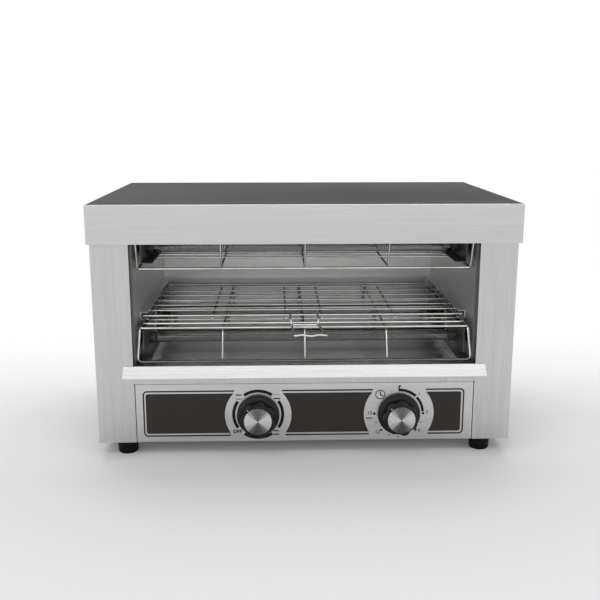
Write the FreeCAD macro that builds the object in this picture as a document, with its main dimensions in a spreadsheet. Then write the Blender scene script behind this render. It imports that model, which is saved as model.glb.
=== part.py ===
import FreeCAD, Part
import math
import os
from types import SimpleNamespace

import Sketcher
from FreeCAD import Placement, Rotation, Vector

# Counter-top quartz toaster, in millimetres. X runs to the right as seen from the front, the open front
# faces -Y and Z is up. The origin lies on the surface that the feet stand on, under the middle of the
# overall box.
document = FreeCAD.newDocument("quartz_toaster")

# Driving sizes. Heights are above the cabinet's underside and depths are behind the hood's front face.
SIZES = {
    "hood_width": 475.0,
    "hood_depth": 302.0,
    "hood_skirt": 42.8,
    "hood_lip": 12.0,
    "body_height": 274.6,
    "sheet_metal": 0.8,
    "skirt_gap": 0.25,
    "front_setback": 12.7,
    "opening_width": 389.0,
    "sill_height": 79.4,
    "opening_top": 237.2,
    "opening_return": 12.3,
    "panel_width": 386.2,
    "panel_height": 69.0,
    "panel_gap": 0.4,
    "panel_side_gap": 0.9,
    "panel_relief": 0.6,
    "panel_return": 9.0,
    "fold_width": 14.0,
    "cavity_width": 386.0,
    "cavity_floor": 76.8,
    "cavity_roof": 237.0,
    "rear_space": 10.0,
    "liner_gap": 0.2,
    "rail_height": 131.7,
    "rail_depth": 9.3,
    "rail_reach": 9.0,
    "rail_start": 69.0,
    "slide_gap": 0.3,
    "frame_wire": 3.0,
    "slat_wire": 2.4,
    "stay_wire": 2.2,
    "weld_sink": 0.3,
    "rack_side_gap": 6.0,
    "rack_front": 39.0,
    "rack_rear_gap": 29.0,
    "rack_corner": 8.0,
    "slat_start": 67.0,
    "slat_pitch": 28.0,
    "slat_count": 7,
    "stay_start": 63.5,
    "stay_length": 176.5,
    "inner_stay": 21.5,
    "outer_stay": 108.0,
    "handle_wire": 2.5,
    "handle_width": 32.0,
    "handle_root": 79.0,
    "handle_drop": 10.2,
    "grip_width": 38.0,
    "grip_skew": 6.0,
    "grip_wave": 2.0,
    "guard_side_gap": 5.4,
    "guard_flat": 104.0,
    "guard_flare": 15.0,
    "guard_rise": 35.0,
    "guard_bend": 5.0,
    "guard_centre": 85.0,
    "guard_pitch": 138.0,
    "guard_rib": 94.0,
    "lower_guard": 129.8,
    "upper_guard": 200.0,
    "guard_pin": 3.0,
    "tube_outside": 10.4,
    "tube_inside": 8.4,
    "coil_outside": 6.4,
    "lower_tube": 105.5,
    "upper_tube": 215.0,
    "cap_diameter": 12.6,
    "cap_length": 14.0,
    "cap_grip": 2.0,
    "cap_neck": 8.0,
    "hole_gap": 0.15,
    "bracket_length": 92.0,
    "bracket_shelf": 13.0,
    "bracket_web": 7.4,
    "lower_bracket_foot": 97.0,
    "tray_side_gap": 3.0,
    "tray_shelf": 12.0,
    "tray_rim": 91.3,
    "tray_front": 26.0,
    "tray_rear_gap": 7.0,
    "tray_corner": 6.0,
    "tray_lip_width": 412.5,
    "tray_lip_taper": 1.1,
    "tray_lip_corner": 1.2,
    "tray_lip_drop": 12.6,
    "tray_lip_lean": 7.5,
    "runner_shelf": 28.0,
    "runner_start": 30.0,
    "runner_height": 2.9,
    "foot_height": 18.0,
    "foot_side_inset": 30.0,
    "foot_end_inset": 33.0,
    "foot_top": 24.6,
    "foot_bottom": 22.6,
    "selector_place": -54.0,
    "timer_place": 108.0,
    "knob_height": 32.0,
    "knob_standoff": 1.0,
    "skirt_diameter": 47.5,
    "skirt_rim": 3.0,
    "skirt_rise": 3.0,
    "grip_back": 38.5,
    "grip_front": 35.0,
    "grip_depth": 15.6,
    "flute_diameter": 13.0,
    "flute_depth": 1.5,
    "cap_disc": 32.0,
    "cap_disc_depth": 1.6,
    "cap_disc_proud": 0.6,
    "shaft_diameter": 6.0,
    "shaft_flat": 1.5,
    "running_gap": 0.05,
    "bush_diameter": 9.4,
    "switch_diameter": 36.0,
    "switch_depth": 32.0,
    "timer_diameter": 52.0,
    "timer_depth": 30.0,
    "gland_diameter": 16.0,
    "gland_bore": 9.0,
    "gland_reach": 14.0,
    "gland_place": 150.0,
    "gland_height": 40.0,
    "block_place": 150.0,
    "stud_place": 195.0,
    "stud_diameter": 5.0,
    "screw_diameter": 4.0,
    "screw_head": 7.6,
    "screw_head_height": 2.4,
    "screw_length": 7.0,
    "vent_width": 4.0,
    "vent_length": 32.0,
    "vent_pitch": 16.0,
    "roof_rise": 6.0,
    "wall_gap": 0.1,
    "contact_gap": 0.05,
    "foot_web": 5.0,
    "foot_recess": 9.2,
    "fold_radius": 0.7,
    "crown_inset": 60.0,
    "cap_wall_gap": 2.0,
    "pin_proud": 3.0,
    "handle_bar_rise": 3.6,
    "handle_neck_gap": 0.9,
    "handle_waist": 1.2,
    "handle_bend": 2.4,
    "back_vent_shift": 60.0,
    "base_vent_shift": 45.0,
    "knob_web": 2.0,
    "skirt_step": 41.0,
    "cap_disc_edge": 0.4,
    "shaft_depth": 14.0,
    "shaft_flat_length": 12.0,
    "switch_plate": 44.0,
    "tab_pitch": 6.0,
    "tab_length": 8.0,
    "timer_plate": 56.0,
    "bell_depth": 12.0,
    "bell_step": 3.0,
    "block_setback": 40.0,
    "block_depth": 22.0,
    "block_height": 18.0,
    "pole_pitch": 12.0,
    "gland_collar": 5.0,
    "gland_thread": 9.0,
}
LOBES = 7
WIRE_FLATS = 6
HOLE_FLATS = 8
DRUM_FLATS = 12
VENTS = 8
REST_ANGLE = 41.0

sheet = document.addObject("Spreadsheet::Sheet", "Sizes")
for row, (alias, value) in enumerate(SIZES.items(), start=1):
    sheet.set(f"A{row}", alias)
    sheet.set(f"B{row}", str(value))
    sheet.setAlias(f"B{row}", alias)
places = document.addObject("App::VarSet", "Places")
document.recompute()


class Formula:
    """A length written over the sheet's cells, so that whatever is bound to it follows a changed size."""

    def __init__(self, text):
        self.text = str(text)

    def __add__(self, other):
        return Formula(f"({self.text} + {written(other)})")

    def __radd__(self, other):
        return Formula(f"({written(other)} + {self.text})")

    def __sub__(self, other):
        return Formula(f"({self.text} - {written(other)})")

    def __rsub__(self, other):
        return Formula(f"({written(other)} - {self.text})")

    def __mul__(self, other):
        return Formula(f"({self.text} * {written(other)})")

    __rmul__ = __mul__

    def __truediv__(self, other):
        return Formula(f"({self.text} / {written(other)})")

    def __neg__(self):
        return Formula(f"(0 - {self.text})")

    def __float__(self):
        return float(sheet.evalExpression(self.text))


def written(value):
    """The text of a formula or of a plain number."""
    return value.text if isinstance(value, Formula) else f"{value:.9g}"


size = SimpleNamespace(**{alias: Formula(f"Sizes.{alias}") for alias in SIZES})
at = SimpleNamespace()


def place(name, formula):
    """Keeps a place that several pieces share, worked out from the sizes."""
    places.addProperty("App::PropertyFloat", name)
    places.setExpression(name, written(formula))
    places.recompute()
    setattr(at, name, Formula(f"Places.{name}"))


# Places along the depth, from the front of the knob caps to the end of the cable gland
place("knob_depth", size.knob_standoff + size.skirt_rim + size.skirt_rise + size.grip_depth)
place("knob_reach", at.knob_depth + size.cap_disc_proud - size.front_setback)
place("hood_front", at.knob_reach - (at.knob_reach + size.hood_depth + size.gland_reach) / 2)
place("hood_rear", at.hood_front + size.hood_depth)
place("case_front", at.hood_front + size.front_setback)
place("case_rear", at.hood_rear - size.sheet_metal - size.skirt_gap)
place("knob_face", at.case_front - at.knob_depth)
place("frame_rear", at.case_front + size.sheet_metal)
place("return_end", at.case_front + size.opening_return)
place("liner_front", at.return_end + size.liner_gap)
place("cavity_rear", at.hood_rear - size.rear_space)

# Places across the width
place("case_half", size.hood_width / 2 - size.sheet_metal - size.skirt_gap)
place("case_inner", at.case_half - size.sheet_metal)
place("cavity_half", size.cavity_width / 2)
place("liner_half", at.cavity_half + size.sheet_metal)
place("rack_half", at.cavity_half - size.rack_side_gap)
place("guard_half", at.cavity_half - size.guard_side_gap)

# Heights
place("base", size.foot_height)
place("hood_top", at.base + size.body_height)
place("case_top", at.hood_top - size.sheet_metal - size.fold_radius)
place("skirt_bottom", at.hood_top - size.hood_skirt)
place("cavity_floor", at.base + size.cavity_floor)
place("cavity_roof", at.base + size.cavity_roof)
place("rail_shelf", at.base + size.rail_height + size.sheet_metal)
place("rack_frame", at.rail_shelf + size.slide_gap + size.frame_wire / 2)
place("slats", at.rack_frame + (size.frame_wire + size.slat_wire) / 2 - size.weld_sink)
place("stays", at.slats - (size.slat_wire + size.stay_wire) / 2 + size.weld_sink)
place("runner_top", at.cavity_floor + size.runner_height)
place("tray_floor", at.runner_top + size.slide_gap)
place("tray_rim", at.base + size.tray_rim)
place("knob_axis", at.base + size.knob_height)
place("panel_bottom", at.base + size.panel_gap)
place("panel_top", at.panel_bottom + size.panel_height)

sub_parts = []
X_AXIS = Vector(1, 0, 0)
Y_AXIS = Vector(0, 1, 0)
Z_AXIS = Vector(0, 0, 1)
SIDES = {"left": -1, "right": 1}

# Sketch normals against the world: a sketch on XZ_Plane looks along -Y, so its height is the negative of Y.
NORMAL_SIGN = {"XY_Plane": 1, "XZ_Plane": -1, "YZ_Plane": 1}


def bind(item, prop, formula):
    item.setExpression(prop, written(formula))


def new_body(label):
    body = document.addObject("PartDesign::Body", label)
    body.Label = label
    sub_parts.append(body)
    return body


def sketch_on(body, role, height, across=0, up=0):
    """A sketch on one of the body's origin planes, at a height along its normal and with a local origin."""
    sketch = body.newObject("Sketcher::SketchObject", "sketch")
    plane = next(f for f in body.Origin.OriginFeatures if f.Role == role)
    sketch.AttachmentSupport = [(plane, "")]
    sketch.MapMode = "FlatFace"
    bind(sketch, "AttachmentOffset.Base.x", across)
    bind(sketch, "AttachmentOffset.Base.y", up)
    bind(sketch, "AttachmentOffset.Base.z", height * NORMAL_SIGN[role])
    return sketch


def constrain(sketch, links, measures):
    """Adds plain links and measured constraints together, and ties each measure to its formula."""
    plain = [Sketcher.Constraint(*link) for link in links]
    measured = [Sketcher.Constraint(*parts, float(formula)) for *parts, formula in measures]
    first = sketch.ConstraintCount + len(plain)
    sketch.addConstraint(plain + measured)
    for index, (*parts, formula) in enumerate(measures, start=first):
        bind(sketch, f"Constraints[{index}]", formula)


def fixed_at(geometry, point, across, up):
    """The two measures that hold a sketch point."""
    return [("DistanceX", -1, 1, geometry, point, across), ("DistanceY", -1, 1, geometry, point, up)]


def polygon(sketch, corners):
    """A closed outline of straight lines through the corners."""
    points = [Vector(float(across), float(up), 0) for across, up in corners]
    first = sketch.GeometryCount
    count = len(points)
    sketch.addGeometry([Part.LineSegment(points[n], points[(n + 1) % count]) for n in range(count)])
    links = [("Coincident", first + n, 2, first + (n + 1) % count, 1) for n in range(count)]
    measures = []
    for n, (across, up) in enumerate(corners):
        measures += fixed_at(first + n, 1, across, up)
    constrain(sketch, links, measures)


def rectangle(sketch, left, bottom, right, top):
    polygon(sketch, [(left, bottom), (right, bottom), (right, top), (left, top)])


def circle(sketch, across, up, radius):
    centre = Vector(float(across), float(up), 0)
    index = sketch.addGeometry(Part.Circle(centre, Z_AXIS, float(radius)))
    constrain(sketch, [], fixed_at(index, 3, across, up) + [("Radius", index, radius)])


def regular(sketch, across, up, flat_radius, count):
    """A regular outline, given by the radius of the circle inside it, with an upright side on its right."""
    radius = flat_radius / math.cos(math.pi / count)
    angles = [math.pi * (2 * n + 1) / count for n in range(count)]
    polygon(sketch, [(across + radius * round(math.cos(angle), 6), up + radius * round(math.sin(angle), 6))
                     for angle in angles])


def hole(sketch, across, up, radius):
    regular(sketch, across, up, radius, HOLE_FLATS)


def folded(sketch, bends, side):
    """A sheet-metal profile with square folds: the bends lie on one face, and the other lies at `side`."""
    points = [Vector(float(a), float(b), 0) for a, b in bends]
    steps = [(end - start).normalize() for start, end in zip(points, points[1:])]
    normals = [Vector(-step.y, step.x, 0) * side for step in steps]
    offsets = [normals[0]] + [a + b for a, b in zip(normals, normals[1:])] + [normals[-1]]
    inner = [(across + size.sheet_metal * round(offset.x), up + size.sheet_metal * round(offset.y))
             for (across, up), offset in zip(bends, offsets)]
    polygon(sketch, list(bends) + inner[::-1])


def pad(body, sketch, length, backwards=False, both_ways=False):
    """Extrudes along the sketch's normal, against it, or half each way."""
    feature = body.newObject("PartDesign::Pad", "pad")
    feature.Profile = sketch
    bind(feature, "Length", length)
    feature.Reversed = backwards
    feature.Midplane = both_ways
    document.recompute()
    return feature


def cut(body, sketch, depth=None, backwards=False):
    """Cuts a pocket, through both ways where no depth is given, and makes sure that it removed material."""
    before = body.Tip.Shape.Volume
    feature = body.newObject("PartDesign::Pocket", "cut")
    feature.Profile = sketch
    if depth is None:
        feature.Type = "ThroughAll"
        feature.Midplane = True
    else:
        bind(feature, "Length", depth)
        feature.Reversed = backwards
    document.recompute()
    if not feature.Shape.Volume < before:
        raise RuntimeError(f"{body.Label}: a cut removes nothing")
    return feature


def turn(body, sketch, axis, kind="PartDesign::Revolution"):
    feature = body.newObject(kind, "turn")
    feature.Profile = sketch
    feature.ReferenceAxis = (sketch, [axis])
    feature.Angle = 360
    document.recompute()
    return feature


def fillet(body, radius, chosen):
    """Rounds the edges of the body's last feature for which chosen(edge) is true."""
    base = body.Tip
    names = [f"Edge{n}" for n, edge in enumerate(base.Shape.Edges, start=1) if chosen(edge)]
    feature = body.newObject("PartDesign::Fillet", "fillet")
    feature.Base = (base, names)
    bind(feature, "Radius", radius)
    document.recompute()
    return feature


def runs_along(edge, axis):
    """Whether a straight edge is parallel to the axis, a unit vector."""
    if not isinstance(edge.Curve, Part.Line):
        return False
    return abs(edge.tangentAt(edge.FirstParameter).dot(axis)) > 0.999


# Screws: M4 pan heads, all alike. Places of the hood's, the back panel's and the feet's
place("hood_screw", at.skirt_bottom + 10)
place("back_screw", at.case_half - size.fold_width / 2 - size.sheet_metal / 2)
place("back_screw_low", at.base + 14)
place("back_screw_high", at.skirt_bottom - 14)
place("foot_across", size.hood_width / 2 - size.foot_side_inset)
place("foot_front", at.hood_front + size.foot_end_inset)
place("foot_rear", at.hood_rear - size.foot_end_inset)
screw_hole = size.screw_diameter / 2 + size.hole_gap
hood_screw_depths = [at.hood_front + size.hood_depth / 5, at.hood_rear - size.hood_depth / 5]
back_screw_heights = [at.back_screw_low, at.back_screw_high]
foot_places = {
    "front_left_foot": (-at.foot_across, at.foot_front),
    "front_right_foot": (at.foot_across, at.foot_front),
    "rear_left_foot": (-at.foot_across, at.foot_rear),
    "rear_right_foot": (at.foot_across, at.foot_rear),
}

# Tubes and their guards: one pair to the front and one to the rear, each with a lower and an upper level
guard_depths = {"front": at.hood_front + size.guard_centre,
                "rear": at.hood_front + size.guard_centre + size.guard_pitch}
tube_heights = {"lower": at.base + size.lower_tube, "upper": at.base + size.upper_tube}
guard_heights = {"lower": at.base + size.lower_guard, "upper": at.base + size.upper_guard}
place("cap_outer", at.cavity_half - size.cap_wall_gap)
place("cap_inner", at.cap_outer - size.cap_length)
place("tube_half", at.cap_inner + size.cap_grip)


def vents(body, role, height, centre, middle_up):
    """A row of cooling slots through a sheet."""
    row = sketch_on(body, role, height)
    tall = size.vent_length / 2
    wide = size.vent_width / 2
    for step in range(VENTS):
        across = centre + size.vent_pitch * (step - (VENTS - 1) / 2)
        rectangle(row, across - wide, middle_up - tall, across + wide, middle_up + tall)
    cut(body, row)


def make_hood():
    """Folded cover: four skirts, rounded folds and a flange turned back under the front skirt."""
    body = new_body("hood")
    outline = sketch_on(body, "XY_Plane", at.skirt_bottom)
    half = size.hood_width / 2
    rectangle(outline, -half, at.hood_front, half, at.hood_rear)
    pad(body, outline, size.hood_skirt)
    lowest_edge = float(at.skirt_bottom) + 1
    base = fillet(body, size.sheet_metal + size.fold_radius, lambda edge: edge.BoundBox.ZMax > lowest_edge)
    shell = body.newObject("PartDesign::Thickness", "shell")
    underside = min(range(len(base.Shape.Faces)), key=lambda n: base.Shape.Faces[n].CenterOfMass.z)
    shell.Base = (base, [f"Face{underside + 1}"])
    bind(shell, "Value", size.sheet_metal)
    shell.Reversed = True
    document.recompute()
    lip = sketch_on(body, "XY_Plane", at.skirt_bottom)
    inner = half - size.sheet_metal / 2
    rectangle(lip, -inner, at.hood_front + size.sheet_metal / 2, inner, at.hood_front + size.hood_lip)
    pad(body, lip, size.sheet_metal)
    holes = sketch_on(body, "YZ_Plane", 0)
    for depth in hood_screw_depths:
        hole(holes, depth, at.hood_screw, screw_hole)
    cut(body, holes)


def make_front_frame():
    """Front sheet with the toasting opening, its edges turned back, and the panel's notched cut-out."""
    body = new_body("front_frame")
    face = sketch_on(body, "XZ_Plane", at.case_front)
    opening = size.opening_width / 2
    sill = at.base + size.sill_height
    head = at.base + size.opening_top
    cutout = size.panel_width / 2 + size.panel_side_gap
    cutout_top = at.panel_top + size.panel_gap
    notch = size.panel_relief
    corner = [(cutout - notch, cutout_top), (cutout - notch, cutout_top + notch),
              (cutout + notch, cutout_top + notch), (cutout + notch, cutout_top - notch),
              (cutout, cutout_top - notch)]
    right = corner + [(cutout, at.base), (at.case_half, at.base), (at.case_half, at.case_top)]
    polygon(face, right + [(-across, up) for across, up in right[::-1]])
    rectangle(face, -opening, sill, opening, head)
    pad(body, face, size.sheet_metal, backwards=True)
    flange = sketch_on(body, "XZ_Plane", at.case_front)
    edge = size.sheet_metal
    rectangle(flange, -opening, sill, opening, head)
    rectangle(flange, -opening - edge, sill - edge, opening + edge, head + edge)
    pad(body, flange, size.opening_return, backwards=True)


def make_side_panel(side, sign):
    """Side sheet with flanges turned inwards behind the front frame and in front of the back panel."""
    body = new_body(f"side_panel_{side}")
    profile = sketch_on(body, "XY_Plane", at.base)
    rear = at.case_rear - size.sheet_metal
    outer = at.case_half * sign
    inner = (at.case_half - size.fold_width) * sign
    folded(profile, [(inner, at.frame_rear), (outer, at.frame_rear), (outer, rear), (inner, rear)], sign)
    pad(body, profile, at.case_top - at.base)
    holes = sketch_on(body, "YZ_Plane", 0)
    for depth in hood_screw_depths:
        hole(holes, depth, at.hood_screw, screw_hole)
    cut(body, holes)
    fixings = sketch_on(body, "XZ_Plane", rear)
    for height in back_screw_heights:
        hole(fixings, at.back_screw * sign, height, screw_hole)
    cut(body, fixings, size.fold_width, backwards=True)


def make_back_panel():
    """Rear sheet, screwed to the side panels' flanges, with a row of cooling slots and the gland's hole."""
    body = new_body("back_panel")
    face = sketch_on(body, "XZ_Plane", at.case_rear)
    rectangle(face, -at.case_half, at.base, at.case_half, at.case_top)
    for sign in SIDES.values():
        for height in back_screw_heights:
            hole(face, at.back_screw * sign, height, screw_hole)
    circle(face, size.gland_place, at.base + size.gland_height, size.gland_diameter / 2 + size.hole_gap)
    pad(body, face, size.sheet_metal)
    vents(body, "XZ_Plane", at.case_rear, -size.back_vent_shift, at.base + size.gland_height)


def make_base_plate():
    """Bottom sheet with its sides turned up inside the side panels, and two rows of cooling slots."""
    body = new_body("base_plate")
    front = at.case_front + size.panel_return + size.panel_gap
    profile = sketch_on(body, "XZ_Plane", front)
    half = at.case_inner - size.skirt_gap
    top = at.base + size.fold_width
    folded(profile, [(-half, top), (-half, at.base), (half, at.base), (half, top)], 1)
    pad(body, profile, at.case_rear - 2 * size.sheet_metal - size.skirt_gap - front, backwards=True)
    holes = sketch_on(body, "XY_Plane", at.base)
    for across, depth in foot_places.values():
        hole(holes, across, depth, screw_hole)
    cut(body, holes)
    for sign in (-1, 1):
        vents(body, "XY_Plane", at.base, 0, size.base_vent_shift * sign)


def make_control_panel():
    """Plate set flush into the front, its edges turned back, with a hole for each control's bush."""
    body = new_body("control_panel")
    profile = sketch_on(body, "YZ_Plane", 0)
    rear = at.case_front + size.panel_return
    folded(profile, [(rear, at.panel_bottom), (at.case_front, at.panel_bottom),
                     (at.case_front, at.panel_top), (rear, at.panel_top)], -1)
    pad(body, profile, size.panel_width, both_ways=True)
    holes = sketch_on(body, "XZ_Plane", at.case_front)
    for across in (size.selector_place, size.timer_place):
        hole(holes, across, at.knob_axis, size.bush_diameter / 2 + size.hole_gap)
    cut(body, holes, size.sheet_metal * 2)


def make_liner_side(side, sign):
    """Cavity wall, flanged outwards at both ends, with the holes for the tube caps and the guards' pins."""
    body = new_body(f"liner_side_{side}")
    profile = sketch_on(body, "XY_Plane", at.cavity_floor)
    inner = at.cavity_half * sign
    outer = (at.cavity_half + size.fold_width) * sign
    folded(profile, [(outer, at.liner_front), (inner, at.liner_front), (inner, at.cavity_rear),
                     (outer, at.cavity_rear)], -sign)
    pad(body, profile, at.cavity_roof - at.cavity_floor)
    holes = sketch_on(body, "YZ_Plane", 0)
    for depth in guard_depths.values():
        for height in tube_heights.values():
            hole(holes, depth, height, size.cap_neck / 2 + size.hole_gap)
        for height in guard_heights.values():
            hole(holes, depth, height, size.guard_pin / 2 + size.hole_gap)
    cut(body, holes)


def make_liner_back():
    """Rear wall of the cavity, behind the flanges of the side walls."""
    body = new_body("liner_back")
    face = sketch_on(body, "XZ_Plane", at.cavity_rear)
    half = at.cavity_half + size.fold_width
    rectangle(face, -half, at.cavity_floor, half, at.cavity_roof)
    pad(body, face, size.sheet_metal, backwards=True)


def make_liner_roof():
    """Reflector over the upper tubes, with a raised middle that stiffens it."""
    body = new_body("liner_roof")
    profile = sketch_on(body, "XZ_Plane", at.liner_front)
    half = at.cavity_half + size.fold_width
    crown = at.cavity_half - size.crown_inset
    rise = at.cavity_roof + size.roof_rise
    folded(profile, [(-half, at.cavity_roof), (-crown, at.cavity_roof), (-crown, rise), (crown, rise),
                     (crown, at.cavity_roof), (half, at.cavity_roof)], 1)
    pad(body, profile, at.cavity_rear + size.sheet_metal - at.liner_front, backwards=True)


def make_heat_shield():
    """Plate between the cavity and the lower compartment, its edges turned down against the side panels."""
    body = new_body("heat_shield")
    profile = sketch_on(body, "XZ_Plane", at.liner_front)
    half = at.case_inner - size.skirt_gap
    bottom = at.cavity_floor - size.fold_width
    folded(profile, [(-half, bottom), (-half, at.cavity_floor), (half, at.cavity_floor), (half, bottom)], -1)
    pad(body, profile, at.case_rear - 2 * size.sheet_metal - size.skirt_gap - at.liner_front, backwards=True)


def make_rack_rail(side, sign):
    """Channel on the cavity wall that the rack slides in."""
    body = new_body(f"rack_rail_{side}")
    start = at.hood_front + size.rail_start
    profile = sketch_on(body, "XZ_Plane", start)
    bottom = at.base + size.rail_height
    top = bottom + size.rail_depth
    wall = at.cavity_half * sign
    tip = (at.cavity_half - size.rail_reach) * sign
    folded(profile, [(tip, bottom), (wall, bottom), (wall, top), (tip, top)], sign)
    pad(body, profile, at.cavity_rear - size.slide_gap - start, backwards=True)


def wire_runs(corners, diameter, closed=False):
    """A flat-sided wire through the points, its runs mitred where they meet."""
    count = len(corners)
    last = count if closed else count - 1
    runs = [(corners[(n + 1) % count] - corners[n]).normalize() for n in range(last)]
    aside = runs[0].cross(X_AXIS if abs(runs[0].x) < 0.9 else Z_AXIS).normalize()
    above = runs[0].cross(aside)
    radius = diameter / 2 / math.cos(math.pi / WIRE_FLATS)
    angles = [math.pi * (2 * n + 1) / WIRE_FLATS for n in range(WIRE_FLATS)]
    ring = [corners[0] + (aside * math.cos(angle) + above * math.sin(angle)) * radius for angle in angles]
    rings = []
    for n, corner in enumerate(corners):
        before = runs[n - 1] if closed or n else runs[0]
        after = runs[n] if n < len(runs) else runs[-1]
        mitre = (before + after).normalize()
        along = before if n else after
        ring = [point + along * ((corner - point).dot(mitre) / along.dot(mitre)) for point in ring]
        rings.append(ring)
    faces = []
    for n in range(len(runs)):
        near, far = rings[n], rings[(n + 1) % count]
        for k in range(WIRE_FLATS):
            following = (k + 1) % WIRE_FLATS
            loop = [near[k], near[following], far[following], far[k], near[k]]
            faces.append(Part.Face(Part.makePolygon(loop)))
    if not closed:
        faces += [Part.Face(Part.makePolygon(end + end[:1])) for end in (rings[0], rings[-1])]
    solid = Part.Solid(Part.Shell(faces))
    if solid.Volume < 0:
        solid.reverse()
    return solid


def bent(corners, bend, closed=False):
    """The corners of a bent wire, each rounded to the bend's radius by a short flat in its middle."""
    count = len(corners)
    path = []
    for n, corner in enumerate(corners):
        if not closed and n in (0, count - 1):
            path.append(corner)
            continue
        back = (corners[n - 1] - corner).normalize()
        ahead = (corners[(n + 1) % count] - corner).normalize()
        half_turn = (math.pi - back.getAngle(ahead)) / 2
        reach = bend * math.tan(half_turn) - bend * math.tan(half_turn / 2) * 0.5
        path += [corner + back * reach, corner + ahead * reach]
    return path


def straight_wire(diameter, start, end):
    return wire_runs([start, end], diameter)


def welded(solids):
    """One solid from wires that are sunk into one another at their welds."""
    return solids[0].multiFuse(solids[1:]).removeSplitter()


def rod(name, diameter, length, along, start):
    """A straight flat-sided wire as a bound prism; start holds the three formulas of its first end."""
    item = document.addObject("Part::Prism", name)
    item.Polygon = WIRE_FLATS
    bind(item, "Circumradius", diameter / (2 * math.cos(math.pi / WIRE_FLATS)))
    bind(item, "Height", length)
    turned = Rotation(Z_AXIS, along).multiply(Rotation(Z_AXIS, 180 / WIRE_FLATS))
    item.Placement = Placement(Vector(), turned)
    for letter, formula in zip("xyz", start):
        bind(item, f"Placement.Base.{letter}", formula)
    return item


def make_rack():
    """Welded rack: a round-cornered frame, slats across it and four stays under the slats."""
    half = at.rack_half
    front = at.hood_front + size.rack_front
    rear = at.cavity_rear - size.rack_rear_gap
    across, near, far, level = (float(formula) for formula in (half, front, rear, at.rack_frame))
    loop = [Vector(across, near, level), Vector(across, far, level), Vector(-across, far, level),
            Vector(-across, near, level)]
    frame = document.addObject("Part::Feature", "rack_frame")
    path = bent(loop, float(size.rack_corner), closed=True)
    frame.Shape = wire_runs(path, float(size.frame_wire), closed=True)
    wires = [frame]
    reach = half + size.slat_wire
    for step in range(round(float(size.slat_count))):
        depth = at.hood_front + size.slat_start + size.slat_pitch * step
        wires.append(rod("rack_slat", size.slat_wire, 2 * reach, X_AXIS, (-reach, depth, at.slats)))
    for across in (-size.outer_stay, -size.inner_stay, size.inner_stay, size.outer_stay):
        wires.append(rod("rack_stay", size.stay_wire, size.stay_length, Y_AXIS,
                         (across, at.hood_front + size.stay_start, at.stays)))
    rack = document.addObject("Part::MultiFuse", "rack")
    rack.Label = "rack"
    rack.Shapes = wires
    rack.Refine = True
    sub_parts.append(rack)


def group_of(label, solids):
    """One sub-part made with plain shapes, which may hold several like solids."""
    item = document.addObject("Part::Feature", label)
    item.Label = label
    item.Shape = solids[0] if len(solids) == 1 else Part.makeCompound(solids)
    item.Placement = Placement()
    sub_parts.append(item)


def moved(shape, placement):
    copy = shape.copy()
    copy.Placement = placement
    return copy


def make_rack_handle():
    """Wire handle welded to the rack: two legs over its front bar, a cross bar and a waved grip."""
    wire = float(size.handle_wire)
    half = float(size.handle_width) / 2
    grip_step = float(size.grip_width) / 4
    tip = float(at.hood_front)
    level = float(at.slats + size.slat_wire / 2 + size.contact_gap) + wire / 2
    low = level - float(size.handle_drop)
    bar_level = low + float(size.handle_bar_rise)
    root = tip + float(size.handle_root)
    neck = tip + float(size.rack_front - size.frame_wire / 2 - size.handle_neck_gap) - wire / 2
    waist = half - float(size.handle_waist)
    legs = {sign: [Vector(sign * half, root, level), Vector(sign * half, neck, level),
                   Vector(sign * waist, neck, bar_level)] for sign in (-1, 1)}
    wave = [Vector(float(size.grip_skew) + grip_step * step, tip, low + lift * float(size.grip_wave))
            for step, lift in zip(range(-2, 3), (0, 1, -1, 1, 0))]
    section = wire * math.cos(math.pi / WIRE_FLATS)
    solids = [wire_runs(bent(legs[-1] + wave + legs[1][::-1], float(size.handle_bend)), section)]
    solids.append(straight_wire(section, legs[-1][-1], legs[1][-1]))
    group_of("rack_handle", [welded(solids)])


def make_guard(label, height, centre, opens):
    """Wire basket before a tube: a closed frame bent away at both ends, with ribs and rods across."""
    wire = float(size.frame_wire)
    rib = float(size.stay_wire)
    sink = float(size.weld_sink)
    half = float(at.guard_half)
    bend = float(size.guard_bend)
    flat = float(size.guard_flat) / 2
    flare = flat + float(size.guard_flare)
    level = float(height)
    tip = level + opens * float(size.guard_rise)
    depth = float(centre)
    frame = []
    for end in (-1, 1):
        bend_depth = depth + end * flat
        tip_depth = depth + end * flare
        frame += [Vector(-end * half, bend_depth, level), Vector(-end * half, tip_depth, tip),
                  Vector(end * half, tip_depth, tip), Vector(end * half, bend_depth, level)]
    solids = [wire_runs(bent(frame, bend, closed=True), wire, closed=True)]
    bend_rod = level + opens * (wire - sink)
    rib_level = bend_rod - opens * ((wire + rib) / 2 - sink)
    middle_rod = rib_level + opens * (rib - sink)
    for across in (-float(size.guard_rib), 0.0, float(size.guard_rib)):
        path = [Vector(across, depth - flare, tip), Vector(across, depth - flat, rib_level),
                Vector(across, depth + flat, rib_level), Vector(across, depth + flare, tip)]
        solids.append(wire_runs(bent(path, bend), rib))
    for diameter, shift, rod_level in ((wire, wire / 2 - flat, bend_rod), (rib, 0.0, middle_rod),
                                       (wire, flat - wire / 2, bend_rod)):
        ends = [Vector(sign * half, depth + shift, rod_level) for sign in (-1, 1)]
        solids.append(straight_wire(diameter, *ends))
    pin = float(size.guard_pin) * math.cos(math.pi / WIRE_FLATS)
    pin_end = float(at.liner_half + size.pin_proud)
    for sign in (-1, 1):
        solids.append(straight_wire(pin, Vector(sign * half, depth, level),
                                    Vector(sign * pin_end, depth, level)))
    group_of(label, [welded(solids)])


def make_tube(label, depth, height):
    """Fused-quartz tube, plain and open at both ends, which sit in the ceramic caps."""
    body = new_body(label)
    ring = sketch_on(body, "YZ_Plane", 0)
    circle(ring, depth, height, size.tube_outside / 2)
    circle(ring, depth, height, size.tube_inside / 2)
    pad(body, ring, 2 * at.tube_half, both_ways=True)


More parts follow.
